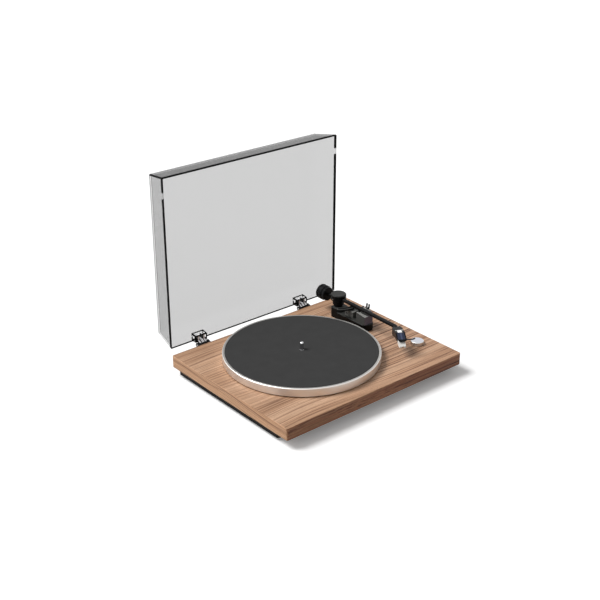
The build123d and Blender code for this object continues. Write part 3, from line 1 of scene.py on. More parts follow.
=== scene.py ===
# %% [markdown]
# # A belt-driven turntable
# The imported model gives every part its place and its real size. What is left for Blender is how the parts
# look: the veneer, the turned metal, the rubber, the black mouldings and the clear cover, and then the light.
# Everything is in metres, with the deck standing on z = 0 and its front towards -y.

# %% Load the model
import math

import bmesh
import bpy
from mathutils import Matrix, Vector


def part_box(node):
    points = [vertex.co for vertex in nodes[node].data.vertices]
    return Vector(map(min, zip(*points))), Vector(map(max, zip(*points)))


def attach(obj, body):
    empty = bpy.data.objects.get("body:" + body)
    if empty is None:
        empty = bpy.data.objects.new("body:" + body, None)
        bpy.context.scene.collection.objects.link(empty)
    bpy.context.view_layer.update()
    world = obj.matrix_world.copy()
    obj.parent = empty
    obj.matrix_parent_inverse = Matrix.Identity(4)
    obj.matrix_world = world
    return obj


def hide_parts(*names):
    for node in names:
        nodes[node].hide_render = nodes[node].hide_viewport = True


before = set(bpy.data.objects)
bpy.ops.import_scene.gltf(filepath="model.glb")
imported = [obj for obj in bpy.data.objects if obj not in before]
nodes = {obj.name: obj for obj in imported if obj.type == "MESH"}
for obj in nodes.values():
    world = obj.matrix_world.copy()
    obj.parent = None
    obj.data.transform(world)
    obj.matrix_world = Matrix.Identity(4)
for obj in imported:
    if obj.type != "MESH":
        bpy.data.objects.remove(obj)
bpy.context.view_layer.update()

# %% [markdown]
# ## Camera
# The photograph is taken from the deck's front left and from a little above, with a long lens, so that its
# edges hardly converge. The camera is placed by the point it looks at, the direction back from it, and a
# distance.

# %% Place the camera
looked_at = Vector((0.12846, 0.16871, 0.041))
turn = math.radians(-39.93)
height_angle = math.radians(25.15)
camera_distance = 2.2921
lens_mm = 66.89
sensor_width_mm = 36.0

camera_data = bpy.data.cameras.new("camera")
camera_data.lens = lens_mm
camera_data.sensor_width = sensor_width_mm
camera = bpy.data.objects.new("camera", camera_data)
back = Vector((
    math.sin(turn) * math.cos(height_angle),
    -math.cos(turn) * math.cos(height_angle),
    math.sin(height_angle),
))
camera.location = looked_at + back * camera_distance
camera.rotation_euler = (-back).to_track_quat("-Z", "Y").to_euler()
bpy.context.scene.collection.objects.link(camera)
bpy.context.scene.camera = camera
bpy.context.scene.view_settings.view_transform = "Standard"
print("camera at", [round(value, 3) for value in camera.location])

# %% [markdown]
# ## Lamps
# The short shadows in the photograph fall to the right and forward, 13 mm beyond a platter that is 18 mm
# high. So one broad lamp stands high on the left and behind the deck. It reaches the top and the left edge,
# and the front edge gets only what the room returns, so it stays dark. A sun lamp with a wide disc gives an
# even, soft-edged light over the whole deck. A weak second one, low on the left, lifts the left edge to
# nearly the tone of the top.

# %% Two lamps
def sun(name, direction, strength, disc_degrees):
    """A distant lamp that shines from the given direction."""
    data = bpy.data.lights.new(name, "SUN")
    data.energy = strength
    data.angle = math.radians(disc_degrees)
    lamp = bpy.data.objects.new(name, data)
    lamp.rotation_euler = (-direction).to_track_quat("-Z", "Y").to_euler()
    bpy.context.scene.collection.objects.link(lamp)


main_direction = Vector((-0.56, 0.48, 1.0))
low_direction = Vector((-1.0, 0.2, 0.3))
sun("lamp_left", main_direction, strength=2.78, disc_degrees=28)
sun("lamp_low", low_direction, strength=0.85, disc_degrees=60)
print("a shadow is", round(main_direction.xy.length / main_direction.z, 2), "of its part's height")

# %% [markdown]
# ## Nodes
# The world and the materials are all made of nodes. Two short helpers keep their code readable: one adds a
# node of any kind and links what goes into it, and the other does a step of arithmetic.

# %% Adding nodes
def put(tree, kind, inputs=None, **settings):
    """Adds a node. A value for an input is a number, a colour or another node's output."""
    node = tree.nodes.new(f"ShaderNode{kind}")
    for name, value in settings.items():
        setattr(node, name, value)
    for name, value in (inputs or {}).items():
        if isinstance(value, bpy.types.NodeSocket):
            tree.links.new(value, node.inputs[name])
        else:
            node.inputs[name].default_value = value
    return node


def math_node(tree, operation, first, second=0.0):
    return put(tree, "Math", {0: first, 1: second}, operation=operation).outputs[0]


# %% [markdown]
# ## Room
# The room is a plain white world. The camera, metal and clear plastic see it as it is, and matte surfaces get
# only a part of its light.

# %% The room's light
room_light = 0.25
white = (1.0, 1.0, 1.0, 1.0)


def seen_directly(tree):
    """1 for a ray from the camera, or one that metal or clear plastic sends on, and 0 for the rest."""
    path = put(tree, "LightPath").outputs
    shiny = math_node(tree, "MAXIMUM", path["Is Glossy Ray"], path["Is Transmission Ray"])
    return math_node(tree, "MAXIMUM", shiny, path["Is Camera Ray"])


world = bpy.data.worlds.new("studio")
world.use_nodes = True
bpy.context.scene.world = world
tree = world.node_tree
tree.nodes.clear()
seen = put(tree, "Background", {"Color": white, "Strength": 1.0})
felt = put(tree, "Background", {"Color": white, "Strength": room_light})
both = put(tree, "MixShader", {0: seen_directly(tree), 1: felt.outputs[0], 2: seen.outputs[0]})
put(tree, "OutputWorld", {"Surface": both.outputs[0]})
print("the room gives matte surfaces", room_light, "of the white that the camera sees")

# %% [markdown]
# ## Floor
# The floor has to be white and still carry the shadow. A matte white floor under this light is just below
# white, so it also glows a little for the camera, and the shadow stays where the lamp doesn't reach. What the
# floor sends back to the deck is another matter: under a deck so low, a white floor would light its front
# edge from below nearly as much as the lamp lights its top. For rays that matte surfaces send out it is
# grey.

# %% Lay the floor
floor_glow = 0.15
floor_white = 0.98
floor_returns = 0.25
floor_width = 30.0

bpy.ops.mesh.primitive_plane_add(size=floor_width, location=(0, 0, 0))
floor = bpy.context.object
floor.name = "floor"
floor_paint = bpy.data.materials.new("floor_paint")
floor_paint.use_nodes = True
tree = floor_paint.node_tree
tree.nodes.clear()
directly = seen_directly(tree)
level = put(tree, "MapRange", {"Value": directly, "To Min": floor_returns, "To Max": floor_white}).outputs[0]
grey = put(tree, "CombineXYZ", {0: level, 1: level, 2: level})
matte = put(tree, "BsdfDiffuse", {"Color": grey.outputs[0]})
glow = put(tree, "Emission", {"Strength": math_node(tree, "MULTIPLY", directly, floor_glow)})
lit = put(tree, "AddShader", {0: matte.outputs[0], 1: glow.outputs[0]})
put(tree, "OutputMaterial", {"Surface": lit.outputs[0]})
floor.data.materials.append(floor_paint)
print("floor", floor_width, "m wide")

# %% [markdown]
# ## Helpers for finishes
# Colours are easiest to pick as a screen shows them, so `paint` turns such a colour into the linear one that
# a shader needs. Every finish starts from `finish`, which makes a material and returns its nodes and its
# shader, and `lay_on` links a pattern of tone and one of roughness to that shader. The patterns use the
# deck's own coordinates in metres: a scale of 500 then means a grain of about 2 mm.

# %% Colours and a first shader
def paint(text):
    """A colour written as on a screen, such as C19A7B, as a linear one."""
    parts = [int(text[i:i + 2], 16) / 255 for i in (0, 2, 4)]
    linear = [part / 12.92 if part <= 0.04045 else ((part + 0.055) / 1.055) ** 2.4 for part in parts]
    return (*linear, 1.0)


def finish(name, color, rough, metal=0.0, shine=0.5):
    """A new material with its nodes and its shader. shine is how much a surface that isn't metal mirrors."""
    material = bpy.data.materials.new(name)
    material.use_nodes = True
    shader = material.node_tree.nodes["Principled BSDF"]
    shader.inputs["Base Color"].default_value = paint(color)
    shader.inputs["Roughness"].default_value = rough
    shader.inputs["Metallic"].default_value = metal
    shader.inputs["Specular IOR Level"].default_value = shine
    return material, material.node_tree, shader


def lay_on(tree, shader, tone, rough=None):
    tree.links.new(tone, shader.inputs["Base Color"])
    if rough is not None:
        tree.links.new(rough, shader.inputs["Roughness"])


def dress(material, *node_names):
    """Gives CAD nodes their finish."""
    for name in node_names:
        for slot in nodes[name].material_slots:
            slot.material = material
    print(material.name, "on", ", ".join(node_names))


black = paint("000000")
print("a half grey on screen is", round(paint("808080")[0], 3), "in linear light")

# %% Patterns and tones
noise_low, noise_middle, noise_high = 0.3, 0.5, 0.7


def noise(tree, vector, scale, detail=3.0, rough=0.5):
    node = put(tree, "TexNoise", {"Vector": vector, "Scale": scale, "Detail": detail, "Roughness": rough})
    return node.outputs["Fac"]


def spread(tree, value, low, high, to_low=0.0, to_high=1.0):
    """Stretches the part of a value between low and high to a new range."""
    ends = {"From Min": low, "From Max": high, "To Min": to_low, "To Max": to_high}
    return put(tree, "MapRange", {"Value": value, **ends}).outputs[0]


def ramp(tree, value, *stops):
    """Turns a value into colours. Each stop is a place from 0 to 1 and a screen colour."""
    node = put(tree, "ValToRGB", {"Fac": value})
    elements = node.color_ramp.elements
    while len(elements) < len(stops):
        elements.new(0.5)
    for element, (place, color) in zip(elements, stops):
        element.position = place
        element.color = paint(color)
    return node.outputs["Color"]


def mix(tree, share, first, second, kind="MIX"):
    return put(tree, "MixRGB", {0: share, 1: first, 2: second}, blend_type=kind).outputs[0]


def stained(tree, share, tone, stain):
    """A tone darkened by a stain, as when one thin colour lies over another."""
    return mix(tree, share, tone, stain, "MULTIPLY")


def speckled(tree, share, pattern, light, dark):
    """A light tone with a dark one showing in it by a pattern, up to the given share."""
    return mix(tree, math_node(tree, "MULTIPLY", pattern, share), light, dark)


def over_noise(tree, value, to_low, to_high):
    """Turns a noise, of which nearly all lies between noise_low and noise_high, into a new range."""
    return spread(tree, value, noise_low, noise_high, to_low, to_high)


def relief(tree, shader, height, depth, strength=1.0):
    """Gives the surface a fine relief of the given depth in metres."""
    bump = put(tree, "Bump", {"Height": height, "Distance": depth, "Strength": strength})
    tree.links.new(bump.outputs["Normal"], shader.inputs["Normal"])


# %% Where a point lies and which way its face looks
def place_on_deck(tree):
    return put(tree, "TexCoord").outputs["Object"]


def parts_of(tree, vector):
    """A vector's x, y and z."""
    return put(tree, "SeparateXYZ", {0: vector}).outputs


def facing_of(tree):
    """The x, y and z of the direction in which a face looks, each from -1 to 1."""
    return parts_of(tree, put(tree, "TexCoord").outputs["Normal"])


def stretched(tree, vector, scales):
    """The coordinates made finer or coarser along each axis."""
    return put(tree, "VectorMath", {0: vector, 1: scales}, operation="MULTIPLY").outputs[0]


def measured_from(tree, place, point):
    """A place as seen from a point of the deck. The height stays."""
    level_point = (point[0], point[1], 0.0)
    return put(tree, "VectorMath", {0: place, 1: level_point}, operation="SUBTRACT").outputs[0]


def length_of(tree, vector):
    return put(tree, "VectorMath", {0: vector}, operation="LENGTH").outputs["Value"]


def distance(tree, value, other):
    """How far one number is from another, either way."""
    return math_node(tree, "ABSOLUTE", math_node(tree, "SUBTRACT", value, other))


# %% Masks: 1 where something holds and 0 elsewhere
squarely = 0.7


def above(tree, value, limit):
    return math_node(tree, "GREATER_THAN", value, limit)


def below(tree, value, limit):
    return math_node(tree, "LESS_THAN", value, limit)


def inside(tree, value, middle_value, half):
    """1 where the value is within half of the middle one."""
    return below(tree, distance(tree, value, middle_value), half)


def looks_along(tree, part):
    """1 on faces that look along an axis, either way. part is their direction's share of that axis."""
    return above(tree, math_node(tree, "ABSOLUTE", part), squarely)


def all_of(tree, *masks):
    """1 where all masks are 1."""
    result = masks[0]
    for mask in masks[1:]:
        result = math_node(tree, "MULTIPLY", result, mask)
    return result


def one_of(tree, *masks):
    """1 where one mask or more is 1."""
    result = masks[0]
    for mask in masks[1:]:
        result = math_node(tree, "MAXIMUM", result, mask)
    return result


def none_of(tree, mask):
    return math_node(tree, "SUBTRACT", 1.0, mask)


# %% [markdown]
# ## Walnut veneer
# The plinth is fibreboard under a thin walnut veneer, laid with its grain along the deck on the top and the
# front, and along the edge on the two sides. On the real deck the veneer is quiet: broad, slightly paler and
# darker bands, thin growth lines some 6 mm apart that are stronger towards the right, and on the left two
# short dark flames where the lines run into each other. Bands, lines and streaks are noise that is far longer
# along the grain than across it. The coordinates are first bent a little by a slow noise, so that no two
# lines are quite parallel. Finer noise, still more stretched, gives fibres and pores for a close look.
#
# The edges are cut from other sheets: a redder one in front, and a paler, yellower one on the two sides, with
# one long dark line that wanders just under the top. The front sheet's darker, redder tone is partly painted
# shade, for the edge that faces away from the lamp, and the sides' paleness is partly painted light, for the
# left edge that faces it.

# %% The veneer's coordinates
deck_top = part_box("plinth")[1].z
drift_scales = (2.2, 6.0, 6.0)
drift_width = 0.07
print("plinth's top at", round(deck_top, 4))


def along_the_grain(tree, place, on_side):
    """The deck's coordinates, turned round on the two side edges and bent a little across the grain."""
    x, y, z = parts_of(tree, place)
    turned_round = put(tree, "CombineXYZ", {0: y, 1: z, 2: x}).outputs[0]
    along = mix(tree, on_side, place, turned_round)
    slow = noise(tree, stretched(tree, along, drift_scales), 1.0, detail=1.5, rough=0.4)
    drift = math_node(tree, "MULTIPLY", math_node(tree, "SUBTRACT", slow, noise_middle), drift_width)
    bend = put(tree, "CombineXYZ", {1: drift}).outputs[0]
    return put(tree, "VectorMath", {0: along, 1: bend}, operation="ADD").outputs[0]


def figure(tree, grain, along, across, detail, rough=0.5):
    """Noise in streaks. along and across are how fine it is in each direction, per metre."""
    return noise(tree, stretched(tree, grain, (along, across, across)), 1.0, detail, rough)


# %% Bands, growth lines and streaks
line_share = 0.85
streak_share = 0.7
lines_stronger_from, lines_stronger_to = -0.05, 0.2


def sheet(tree, grain, lines, x):
    bands = figure(tree, grain, along=1.3, across=40.0, detail=2.0)
    streaks = figure(tree, grain, along=6.0, across=620.0, detail=3.0, rough=0.6)
    line_tone = ramp(tree, lines, (0.36, "9C897B"), (0.43, "EFE8E3"), (0.6, "FFFFFF"))
    streak_tone = ramp(tree, streaks, (0.35, "C9C0BA"), (0.6, "FFFFFF"))
    rightward = spread(tree, x, lines_stronger_from, lines_stronger_to)

    tone = ramp(tree, bands, (0.34, "C9A181"), (0.5, "D5AC8C"), (0.66, "DFB99A"))
    tone = stained(tree, line_share, tone, line_tone)
    tone = stained(tree, rightward, tone, line_tone)
    return stained(tree, streak_share, tone, streak_tone)


# %% Two dark flames
flame_share = 0.75
flame_core = 0.1
darkest_lines, palest_lines = 0.42, 0.58


def flame(tree, place, centre, length, width):
    """1 in the middle of a long spot on the top, and 0 round it."""
    scaled = stretched(tree, measured_from(tree, place, centre), (2 / length, 2 / width, 0))
    return spread(tree, length_of(tree, scaled), flame_core, 1.0, 1.0, 0.0)


def with_flames(tree, tone, place, lines):
    rear = flame(tree, place, centre=(-0.158, 0.100), length=0.11, width=0.05)
    front = flame(tree, place, centre=(-0.165, -0.118), length=0.08, width=0.035)
    run_together = spread(tree, lines, palest_lines, darkest_lines)
    spots = all_of(tree, one_of(tree, rear, front), run_together)
    return speckled(tree, flame_share, spots, tone, paint("7D5A43"))


# %% Fibres and pores
fibre_share = 0.35
pore_share = 0.4


def with_fibres_and_pores(tree, tone, fibres, pores):
    tone = stained(tree, fibre_share, tone, ramp(tree, fibres, (0.3, "A8A8A8"), (0.7, "FFFFFF")))
    return stained(tree, pore_share, tone, ramp(tree, pores, (0.33, "6E4A35"), (0.4, "FFFFFF")))


# %% The edges' own sheets
front_band_scales = (3.0, 0.0, 210.0)
side_paler_with_painted_light = (1.12, 1.09, 1.02)
side_wave_scales = (0.0, 9.0, 0.0)
line_lowest, line_highest = deck_top - 0.012, deck_top - 0.004
line_core, line_fade, line_strength = 0.0004, 0.0011, 0.6


# Partly painted shade: the front edge faces away from the lamp, and its sheet is darker and redder.
def front_edge_with_painted_shade(tree, tone, grain):
    bands = noise(tree, stretched(tree, grain, front_band_scales), 1.0, detail=2.0)
    return stained(tree, 1.0, tone, ramp(tree, bands, (0.38, "DDB9A9"), (0.5, "F6D6C8"), (0.6, "FFEDE0")))


# Partly painted light: the side edges are paler, as the left one faces the lamp.
def side_edge(tree, tone, place):
    paler_with_painted_light = stretched(tree, tone, side_paler_with_painted_light)
    wave = noise(tree, stretched(tree, place, side_wave_scales), 1.0, detail=1.0)
    line_level = over_noise(tree, wave, line_lowest, line_highest)
    off_line = distance(tree, parts_of(tree, place)["Z"], line_level)
    return mix(tree, spread(tree, off_line, line_core, line_fade, line_strength, 0.0), paler_with_painted_light, paint("7A4F3B"))


# %% Veneer the plinth
veneer_smoothest, veneer_roughest = 0.44, 0.6
pore_depth, pore_strength = 0.0001, 0.4


def walnut_veneer():
    material, tree, shader = finish("walnut_veneer", "BA947A", 0.5, shine=0.3)
    place = place_on_deck(tree)
    facing = facing_of(tree)
    on_side = looks_along(tree, facing["X"])
    on_front = looks_along(tree, facing["Y"])
    grain = along_the_grain(tree, place, on_side)
    lines = figure(tree, grain, along=3.2, across=340.0, detail=2.5, rough=0.55)
    fibres = figure(tree, grain, along=14.0, across=900.0, detail=4.0, rough=0.65)
    pores = figure(tree, grain, along=90.0, across=2600.0, detail=2.0)

    tone = sheet(tree, grain, lines, parts_of(tree, place)["X"])
    tone = with_flames(tree, tone, place, lines)
    tone = with_fibres_and_pores(tree, tone, fibres, pores)
    tone = mix(tree, on_front, tone, front_edge_with_painted_shade(tree, tone, grain))
    tone = mix(tree, on_side, tone, side_edge(tree, tone, place))
    lay_on(tree, shader, tone, spread(tree, fibres, 0.0, 1.0, veneer_smoothest, veneer_roughest))
    relief(tree, shader, pores, pore_depth, pore_strength)
    return material


dress(walnut_veneer(), "plinth")

# %% [markdown]
# ## Black mouldings, coated metal and rubber
# Most of the deck's small parts are black, and they differ by their surface. Moulded plastic carries the fine
# grain of its spark-eroded mould, painted metal is smoother with a faint orange peel, and rubber is dull and
# slightly mottled. One function makes each kind, with its colour and its gloss as arguments.

# %% Moulded plastic
mould_cloud_scale, mould_gloss_swing, mould_speckle = 60.0, 0.06, 0.35
painted_light_fade_on_top, painted_light_fade_on_front = (0.3, 0.9), (-0.5, -0.9)


def moulded(name, color, rough, grain=1400.0, depth=0.00006, shine=0.1, top=None, front=None):
    """Moulded plastic. Faces that look up or forward may get a lighter tone of their own, which is painted
    light.
    """
    material, tree, shader = finish(name, color, rough, shine=shine)
    place = place_on_deck(tree)
    fine = noise(tree, place, grain, detail=4.0, rough=0.6)
    cloud = noise(tree, place, mould_cloud_scale, detail=2.0)
    tone = paint(color)
    # Painted light: a lighter tone on faces that look up, and on faces that look forward.
    if top:
        tone = mix(tree, spread(tree, facing_of(tree)["Z"], *painted_light_fade_on_top), tone, paint(top))
    if front:
        tone = mix(tree, spread(tree, facing_of(tree)["Y"], *painted_light_fade_on_front), tone, paint(front))
    gloss = over_noise(tree, cloud, rough - mould_gloss_swing, rough + mould_gloss_swing)
    lay_on(tree, shader, speckled(tree, mould_speckle, fine, tone, black), gloss)
    relief(tree, shader, fine, depth)
    return material


# %% Painted and blackened metal
peel_scale, peel_depth, peel_speckle, coat_shine = 700.0, 0.00004, 0.25, 0.12


def coated(name, color, rough):
    material, tree, shader = finish(name, color, rough, shine=coat_shine)
    peel = noise(tree, place_on_deck(tree), peel_scale, detail=2.0)
    lay_on(tree, shader, speckled(tree, peel_speckle, peel, paint(color), black))
    relief(tree, shader, peel, peel_depth)
    return material


# %% Rubber
mottle_scale, mottle_swing, rubber_shine = 45.0, 0.05, 0.1
rubber_grain, rubber_depth = 2200.0, 0.00005


def rubber(name, color, rough):
    material, tree, shader = finish(name, color, rough, shine=rubber_shine)
    place = place_on_deck(tree)
    mottle = noise(tree, place, mottle_scale, detail=4.0, rough=0.6)
    fine = noise(tree, place, rubber_grain, detail=2.0)
    shade = over_noise(tree, mottle, 1 - mottle_swing, 1 + mottle_swing)
    tone = put(tree, "VectorMath", {0: paint(color)[:3], "Scale": shade}, operation="SCALE").outputs[0]
    lay_on(tree, shader, tone)
    relief(tree, shader, fine, rubber_depth)
    return material


# %% [markdown]
# ## Turned and plated metal
# A turned surface carries fine rings round its axis, which is what makes a platter's rim or a knob's top
# glitter along a radius. The rings are noise that only depends on the distance from the axis and the height.
# Level faces would glare under the lamp, so they are rougher, and they get a darker painted tone that stands in
# for a duller reflection. Plated and cast metal has a fine even grain instead.

# %% Turned metal
ring_scale, ring_depth, ring_strength, ring_speckle = 2500.0, 0.00003, 0.6, 0.3
metal_cloud_scale, metal_gloss_swing = 30.0, 0.05
level_painted_reflection_fade, level_gloss_fade = (0.85, 0.95), (0.2, 0.5)


def turned(name, color, rough, centre, level_rough=None, level_tone_painted_reflection="B4B2AF"):
    """Turned metal. Its level faces may be rougher than its sides, and have a painted tone that stands in for
    their reflection.
    """
    material, tree, shader = finish(name, color, rough, metal=1.0)
    place = place_on_deck(tree)
    radius = length_of(tree, stretched(tree, measured_from(tree, place, centre), (1, 1, 0)))
    tool_path = put(tree, "CombineXYZ", {0: radius, 1: parts_of(tree, place)["Z"]}).outputs[0]
    rings = noise(tree, tool_path, ring_scale, rough=0.7)
    cloud = noise(tree, place, metal_cloud_scale)
    tone = speckled(tree, ring_speckle, rings, paint(color), paint("8A8A8C"))
    gloss = over_noise(tree, cloud, rough - metal_gloss_swing, rough + metal_gloss_swing)
    if level_rough:
        up = facing_of(tree)["Z"]
        # Painted reflection: level faces get a tone of their own.
        tone = mix(tree, spread(tree, up, *level_painted_reflection_fade), tone, paint(level_tone_painted_reflection))
        gloss = spread(tree, up, *level_gloss_fade, gloss, level_rough)
    lay_on(tree, shader, tone, gloss)
    relief(tree, shader, rings, ring_depth, ring_strength)
    return material


# %% Plated and cast metal
plating_grain, plating_depth, plating_speckle = 900.0, 0.00003, 0.3


def plated(name, color, rough, grain=plating_grain):
    material, tree, shader = finish(name, color, rough, metal=1.0)
    grains = noise(tree, place_on_deck(tree), grain, detail=4.0, rough=0.6)
    lay_on(tree, shader, speckled(tree, plating_speckle, grains, paint(color), paint("5A5A5C")))
    relief(tree, shader, grains, plating_depth)
    return material


# %% [markdown]
# ## Platter, mat, spindle and knob
# The platter is cast aluminium, turned all over, with a bright lip where the tool cut last. The mat is dull
# black rubber, and the spindle is polished steel. The knob on the front right is turned aluminium too. The
# rings need each part's axis, which is the middle of its box.

# %% Dress the turning parts
def middle(name):
    low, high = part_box(name)
    return (low + high) / 2


spindle_axis = middle("spindle")
knob_axis = middle("selector_knob")
print("spindle at", [round(value, 4) for value in spindle_axis[:2]])

knob_metal = turned("knob_aluminium", "DEDEDC", 0.3, knob_axis, level_rough=0.42, level_tone_painted_reflection="CCCED6")
dress(turned("platter_aluminium", "EAE8E5", 0.36, spindle_axis, level_rough=0.5), "platter")
dress(rubber("mat_rubber", "3C3C3C", 0.9), "platter_mat")
dress(turned("spindle_steel", "D8D8DA", 0.12, spindle_axis), "spindle")
dress(knob_metal, "selector_knob")

# %% [markdown]
# ## Black parts
# Each black part gets its own shade: no two of them are made in one mould, and on the real deck they reflect
# the room differently too. The lighter tones on their tops, and on the arm rest's front, are painted light.

# %% Dress the black mouldings
# The top and front tones below are painted light on faces that look up or forward.
dress(moulded("tray_moulding", "0B0B0C", 0.6), "base_tray")
dress(moulded("arm_base_moulding", "070706", 0.45, top="3E3E3C"), "arm_base")
dress(moulded("cue_moulding", "60605D", 0.5, top="8A8A86"), "cue_unit")
dress(moulded("lift_bar_moulding", "262625", 0.5, top="4C4C4A"), "cue_lift")
dress(moulded("lever_moulding", "1A1A1C", 0.4, top="303032"), "cue_lever")
dress(moulded("rest_moulding", "4B4B49", 0.45, top="9C9C99", front="7A7482"), "arm_rest")
dress(moulded("housing_moulding", "070707", 0.45, top="3C3C3B"), "pivot_housing", "pivot_block",
      "arm_bearing")
dress(moulded("dial_moulding", "101011", 0.45), "force_dial", "counterweight_bush", "anti_skate_knob")
dress(moulded("socket_moulding", "1A1A1B", 0.5), "power_socket", "output_switch_body", "rotary_switch")
dress(moulded("slider_moulding", "9A9A9A", 0.5), "output_switch_slider")

# %% Dress the coated metal and the rubber
feet = [f"foot_{end}_{side}" for end in ("front", "rear") for side in ("left", "right")]
dress(coated("tube_metal", "060607", 0.4), "arm_tube", "rear_stub")
dress(coated("weight_metal", "070708", 0.4), "counterweight")
dress(coated("finger_metal", "141415", 0.35), "finger_lift")
dress(coated("bracket_metal", "18181A", 0.4), "hinge_bracket_left", "hinge_bracket_right")
dress(rubber("foot_rubber", "1D1D1D", 0.8), *feet)
dress(rubber("belt_rubber", "161616", 0.5), "drive_belt")
dress(rubber("pad_rubber", "141414", 0.8), "lift_pad")

# %% [markdown]
# ## The latch's fork
# Two thin prongs stand up from the rest, one on each side of its lug, and swing over the tube to lock the
# arm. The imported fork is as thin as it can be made, and from the photograph's distance it nearly vanishes.
# The real prongs look fuller, so the fork's own mesh is copied, its prongs are made stouter on the sides
# where there is room, and all edges get a small round. The copy rides on the latch and stands for the packed
# fork.

# %% Make the fork stouter
stouter_by = 0.0009
tip_depth, prong_skin, prong_foot = 0.0003, 0.0006, 0.0034
fork_round = 0.0002
same_point = 1e-6


def stouter_mesh(packed_mesh, low, high):
    """A copy of the fork's mesh with its prongs thicker outward, and on the side that leads the swing."""
    mesh = packed_mesh.copy()
    mesh.name = "latch_fork"
    shape = bmesh.new()
    shape.from_mesh(mesh)
    bmesh.ops.remove_doubles(shape, verts=shape.verts, dist=same_point)
    tips_x = [vert.co.x for vert in shape.verts if vert.co.z > high.z - tip_depth]
    prong_middle = (min(tips_x) + max(tips_x)) / 2
    halfway = (low.y + high.y) / 2
    for vert in shape.verts:
        from_halfway = vert.co.y - halfway
        if abs(from_halfway) > (high.y - low.y) / 2 - prong_skin:
            vert.co.y += math.copysign(stouter_by, from_halfway)
        if vert.co.z > low.z + prong_foot and vert.co.x > prong_middle:
            vert.co.x += stouter_by
    shape.to_mesh(mesh)
    shape.free()
    print("prongs were", round((max(tips_x) - min(tips_x)) * 1000, 1), "mm wide along the swing")
    return mesh


latch_fork = bpy.data.objects.new("latch_fork", stouter_mesh(nodes["rest_latch"].data, *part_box("rest_latch")))
bpy.context.scene.collection.objects.link(latch_fork)
latch_fork.data.materials.clear()
latch_fork.data.materials.append(moulded("latch_moulding", "050505", 0.5))
rounded = latch_fork.modifiers.new("rounded", "BEVEL")
rounded.width = fork_round
rounded.segments = 2
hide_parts("rest_latch")
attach(latch_fork, "latch")

# %% [markdown]
# ## Small bright parts
# Screws, shafts, the bearing and the motor are steel and bronze, each with its own plating.

# %% Dress the metal parts
dress(plated("zinc_steel", "B4B6BA", 0.35), "tray_screws", "deck_screws", "motor_plate", "hinge_screws")
dress(plated("nickel_steel", "C6C4BE", 0.22), "hinge_pins", "cartridge_screws", "knob_shaft", "ground_post")
dress(plated("bearing_steel", "BEBFC3", 0.2), "thrust_ball", "swing_shaft", "tilt_axle", "motor_pulley")
dress(plated("bronze", "A97F4E", 0.45, grain=2500.0), "bearing_bushes")
dress(plated("bearing_housing_metal", "8D8E92", 0.4), "bearing_housing")
dress(plated("motor_steel", "8F9093", 0.45), "motor")
dress(plated("cantilever_metal", "CFCFD2", 0.2), "cantilever")

# %% [markdown]
# ## Phono sockets
# Each phono socket is a gilt ring round a coloured insulator, white for one channel and red for the other,
# with a gilt contact in its middle. The block that holds both is black. The colours follow the distance from
# the socket's own axis, which runs from front to rear.

# %% Dress the phono sockets
jacks_low, jacks_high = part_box("rca_sockets")
jacks_middle = middle("rca_sockets")
ring_share = 8.3 / 9.2
jack_ring = (jacks_high.z - jacks_low.z) / 2 * ring_share
jack_apart = 0.014
ring_wall, ring_margin, contact_radius = 0.0008, 0.0002, 0.002
print("phono ring's radius", round(jack_ring, 5))


def phono_sockets():
    material, tree, shader = finish("phono_gilt", "D9B566", 0.25)
    place = place_on_deck(tree)
    side = math_node(tree, "SUBTRACT", parts_of(tree, place)["X"], jacks_middle.x)
    aside = math_node(tree, "SUBTRACT", math_node(tree, "ABSOLUTE", side), jack_apart / 2)
    raised = math_node(tree, "SUBTRACT", parts_of(tree, place)["Z"], jacks_middle.z)
    radius = length_of(tree, put(tree, "CombineXYZ", {0: aside, 1: raised}).outputs[0])
    grains = noise(tree, place, plating_grain)

    in_ring = all_of(tree, below(tree, radius, jack_ring - ring_wall), above(tree, radius, contact_radius))
    on_block = above(tree, radius, jack_ring + ring_margin)
    channel = mix(tree, above(tree, side, 0.0), paint("A81E1E"), paint("E4E4E0"))
    gilt = speckled(tree, plating_speckle, grains, paint("D9B566"), paint("8A6A30"))
    lay_on(tree, shader, mix(tree, on_block, mix(tree, in_ring, gilt, channel), paint("131314")))
    metal = none_of(tree, one_of(tree, in_ring, on_block))
    tree.links.new(metal, shader.inputs["Metallic"])
    relief(tree, shader, grains, plating_depth)
    return material


dress(phono_sockets(), "rca_sockets")

# %% [markdown]
# ## Headshell
# The headshell is a small cap over the cartridge, moulded in black, with a glossy front slope and a small pale
# plate between its two screws. The blue that the slope shows under a studio light is painted on as a
# reflection, lighter along its middle, with black painted shade round its edges, and the brownish cast of the
# shell's sides is a painted reflection of the wood. The plate is bare. Each place is found along and across the
# shell, which stands 28.4 degrees off the deck's front-to-rear line and is measured from the bend of the arm's
# tube.

# %% Along and across the shell
shell_turn = math.radians(28.36)
shell_forward = (-math.sin(shell_turn), -math.cos(shell_turn), 0.0)
shell_across = (math.cos(shell_turn), -math.sin(shell_turn), 0.0)
arm_bend_point = (0.1381, -0.0984)

slope_middle, slope_half_length, slope_half_width = 0.0402, 0.0056, 0.0068
painted_highlight_middle, painted_highlight_half_width = 0.0005, 0.0016
plate_middle, plate_half_length, plate_half_width = 0.028, 0.0052, 0.0042
slope_from, level_from, plate_from = 0.3, 0.93, 0.5
shell_grain, shell_depth = 1800.0, 0.00003
shell_glossiest, shell_dullest = 0.24, 0.36
side_speckle, slope_speckle = 0.4, 0.3
print("slope_painted_reflection", slope_middle * 1000, "mm and plate", plate_middle * 1000, "mm from the bend")


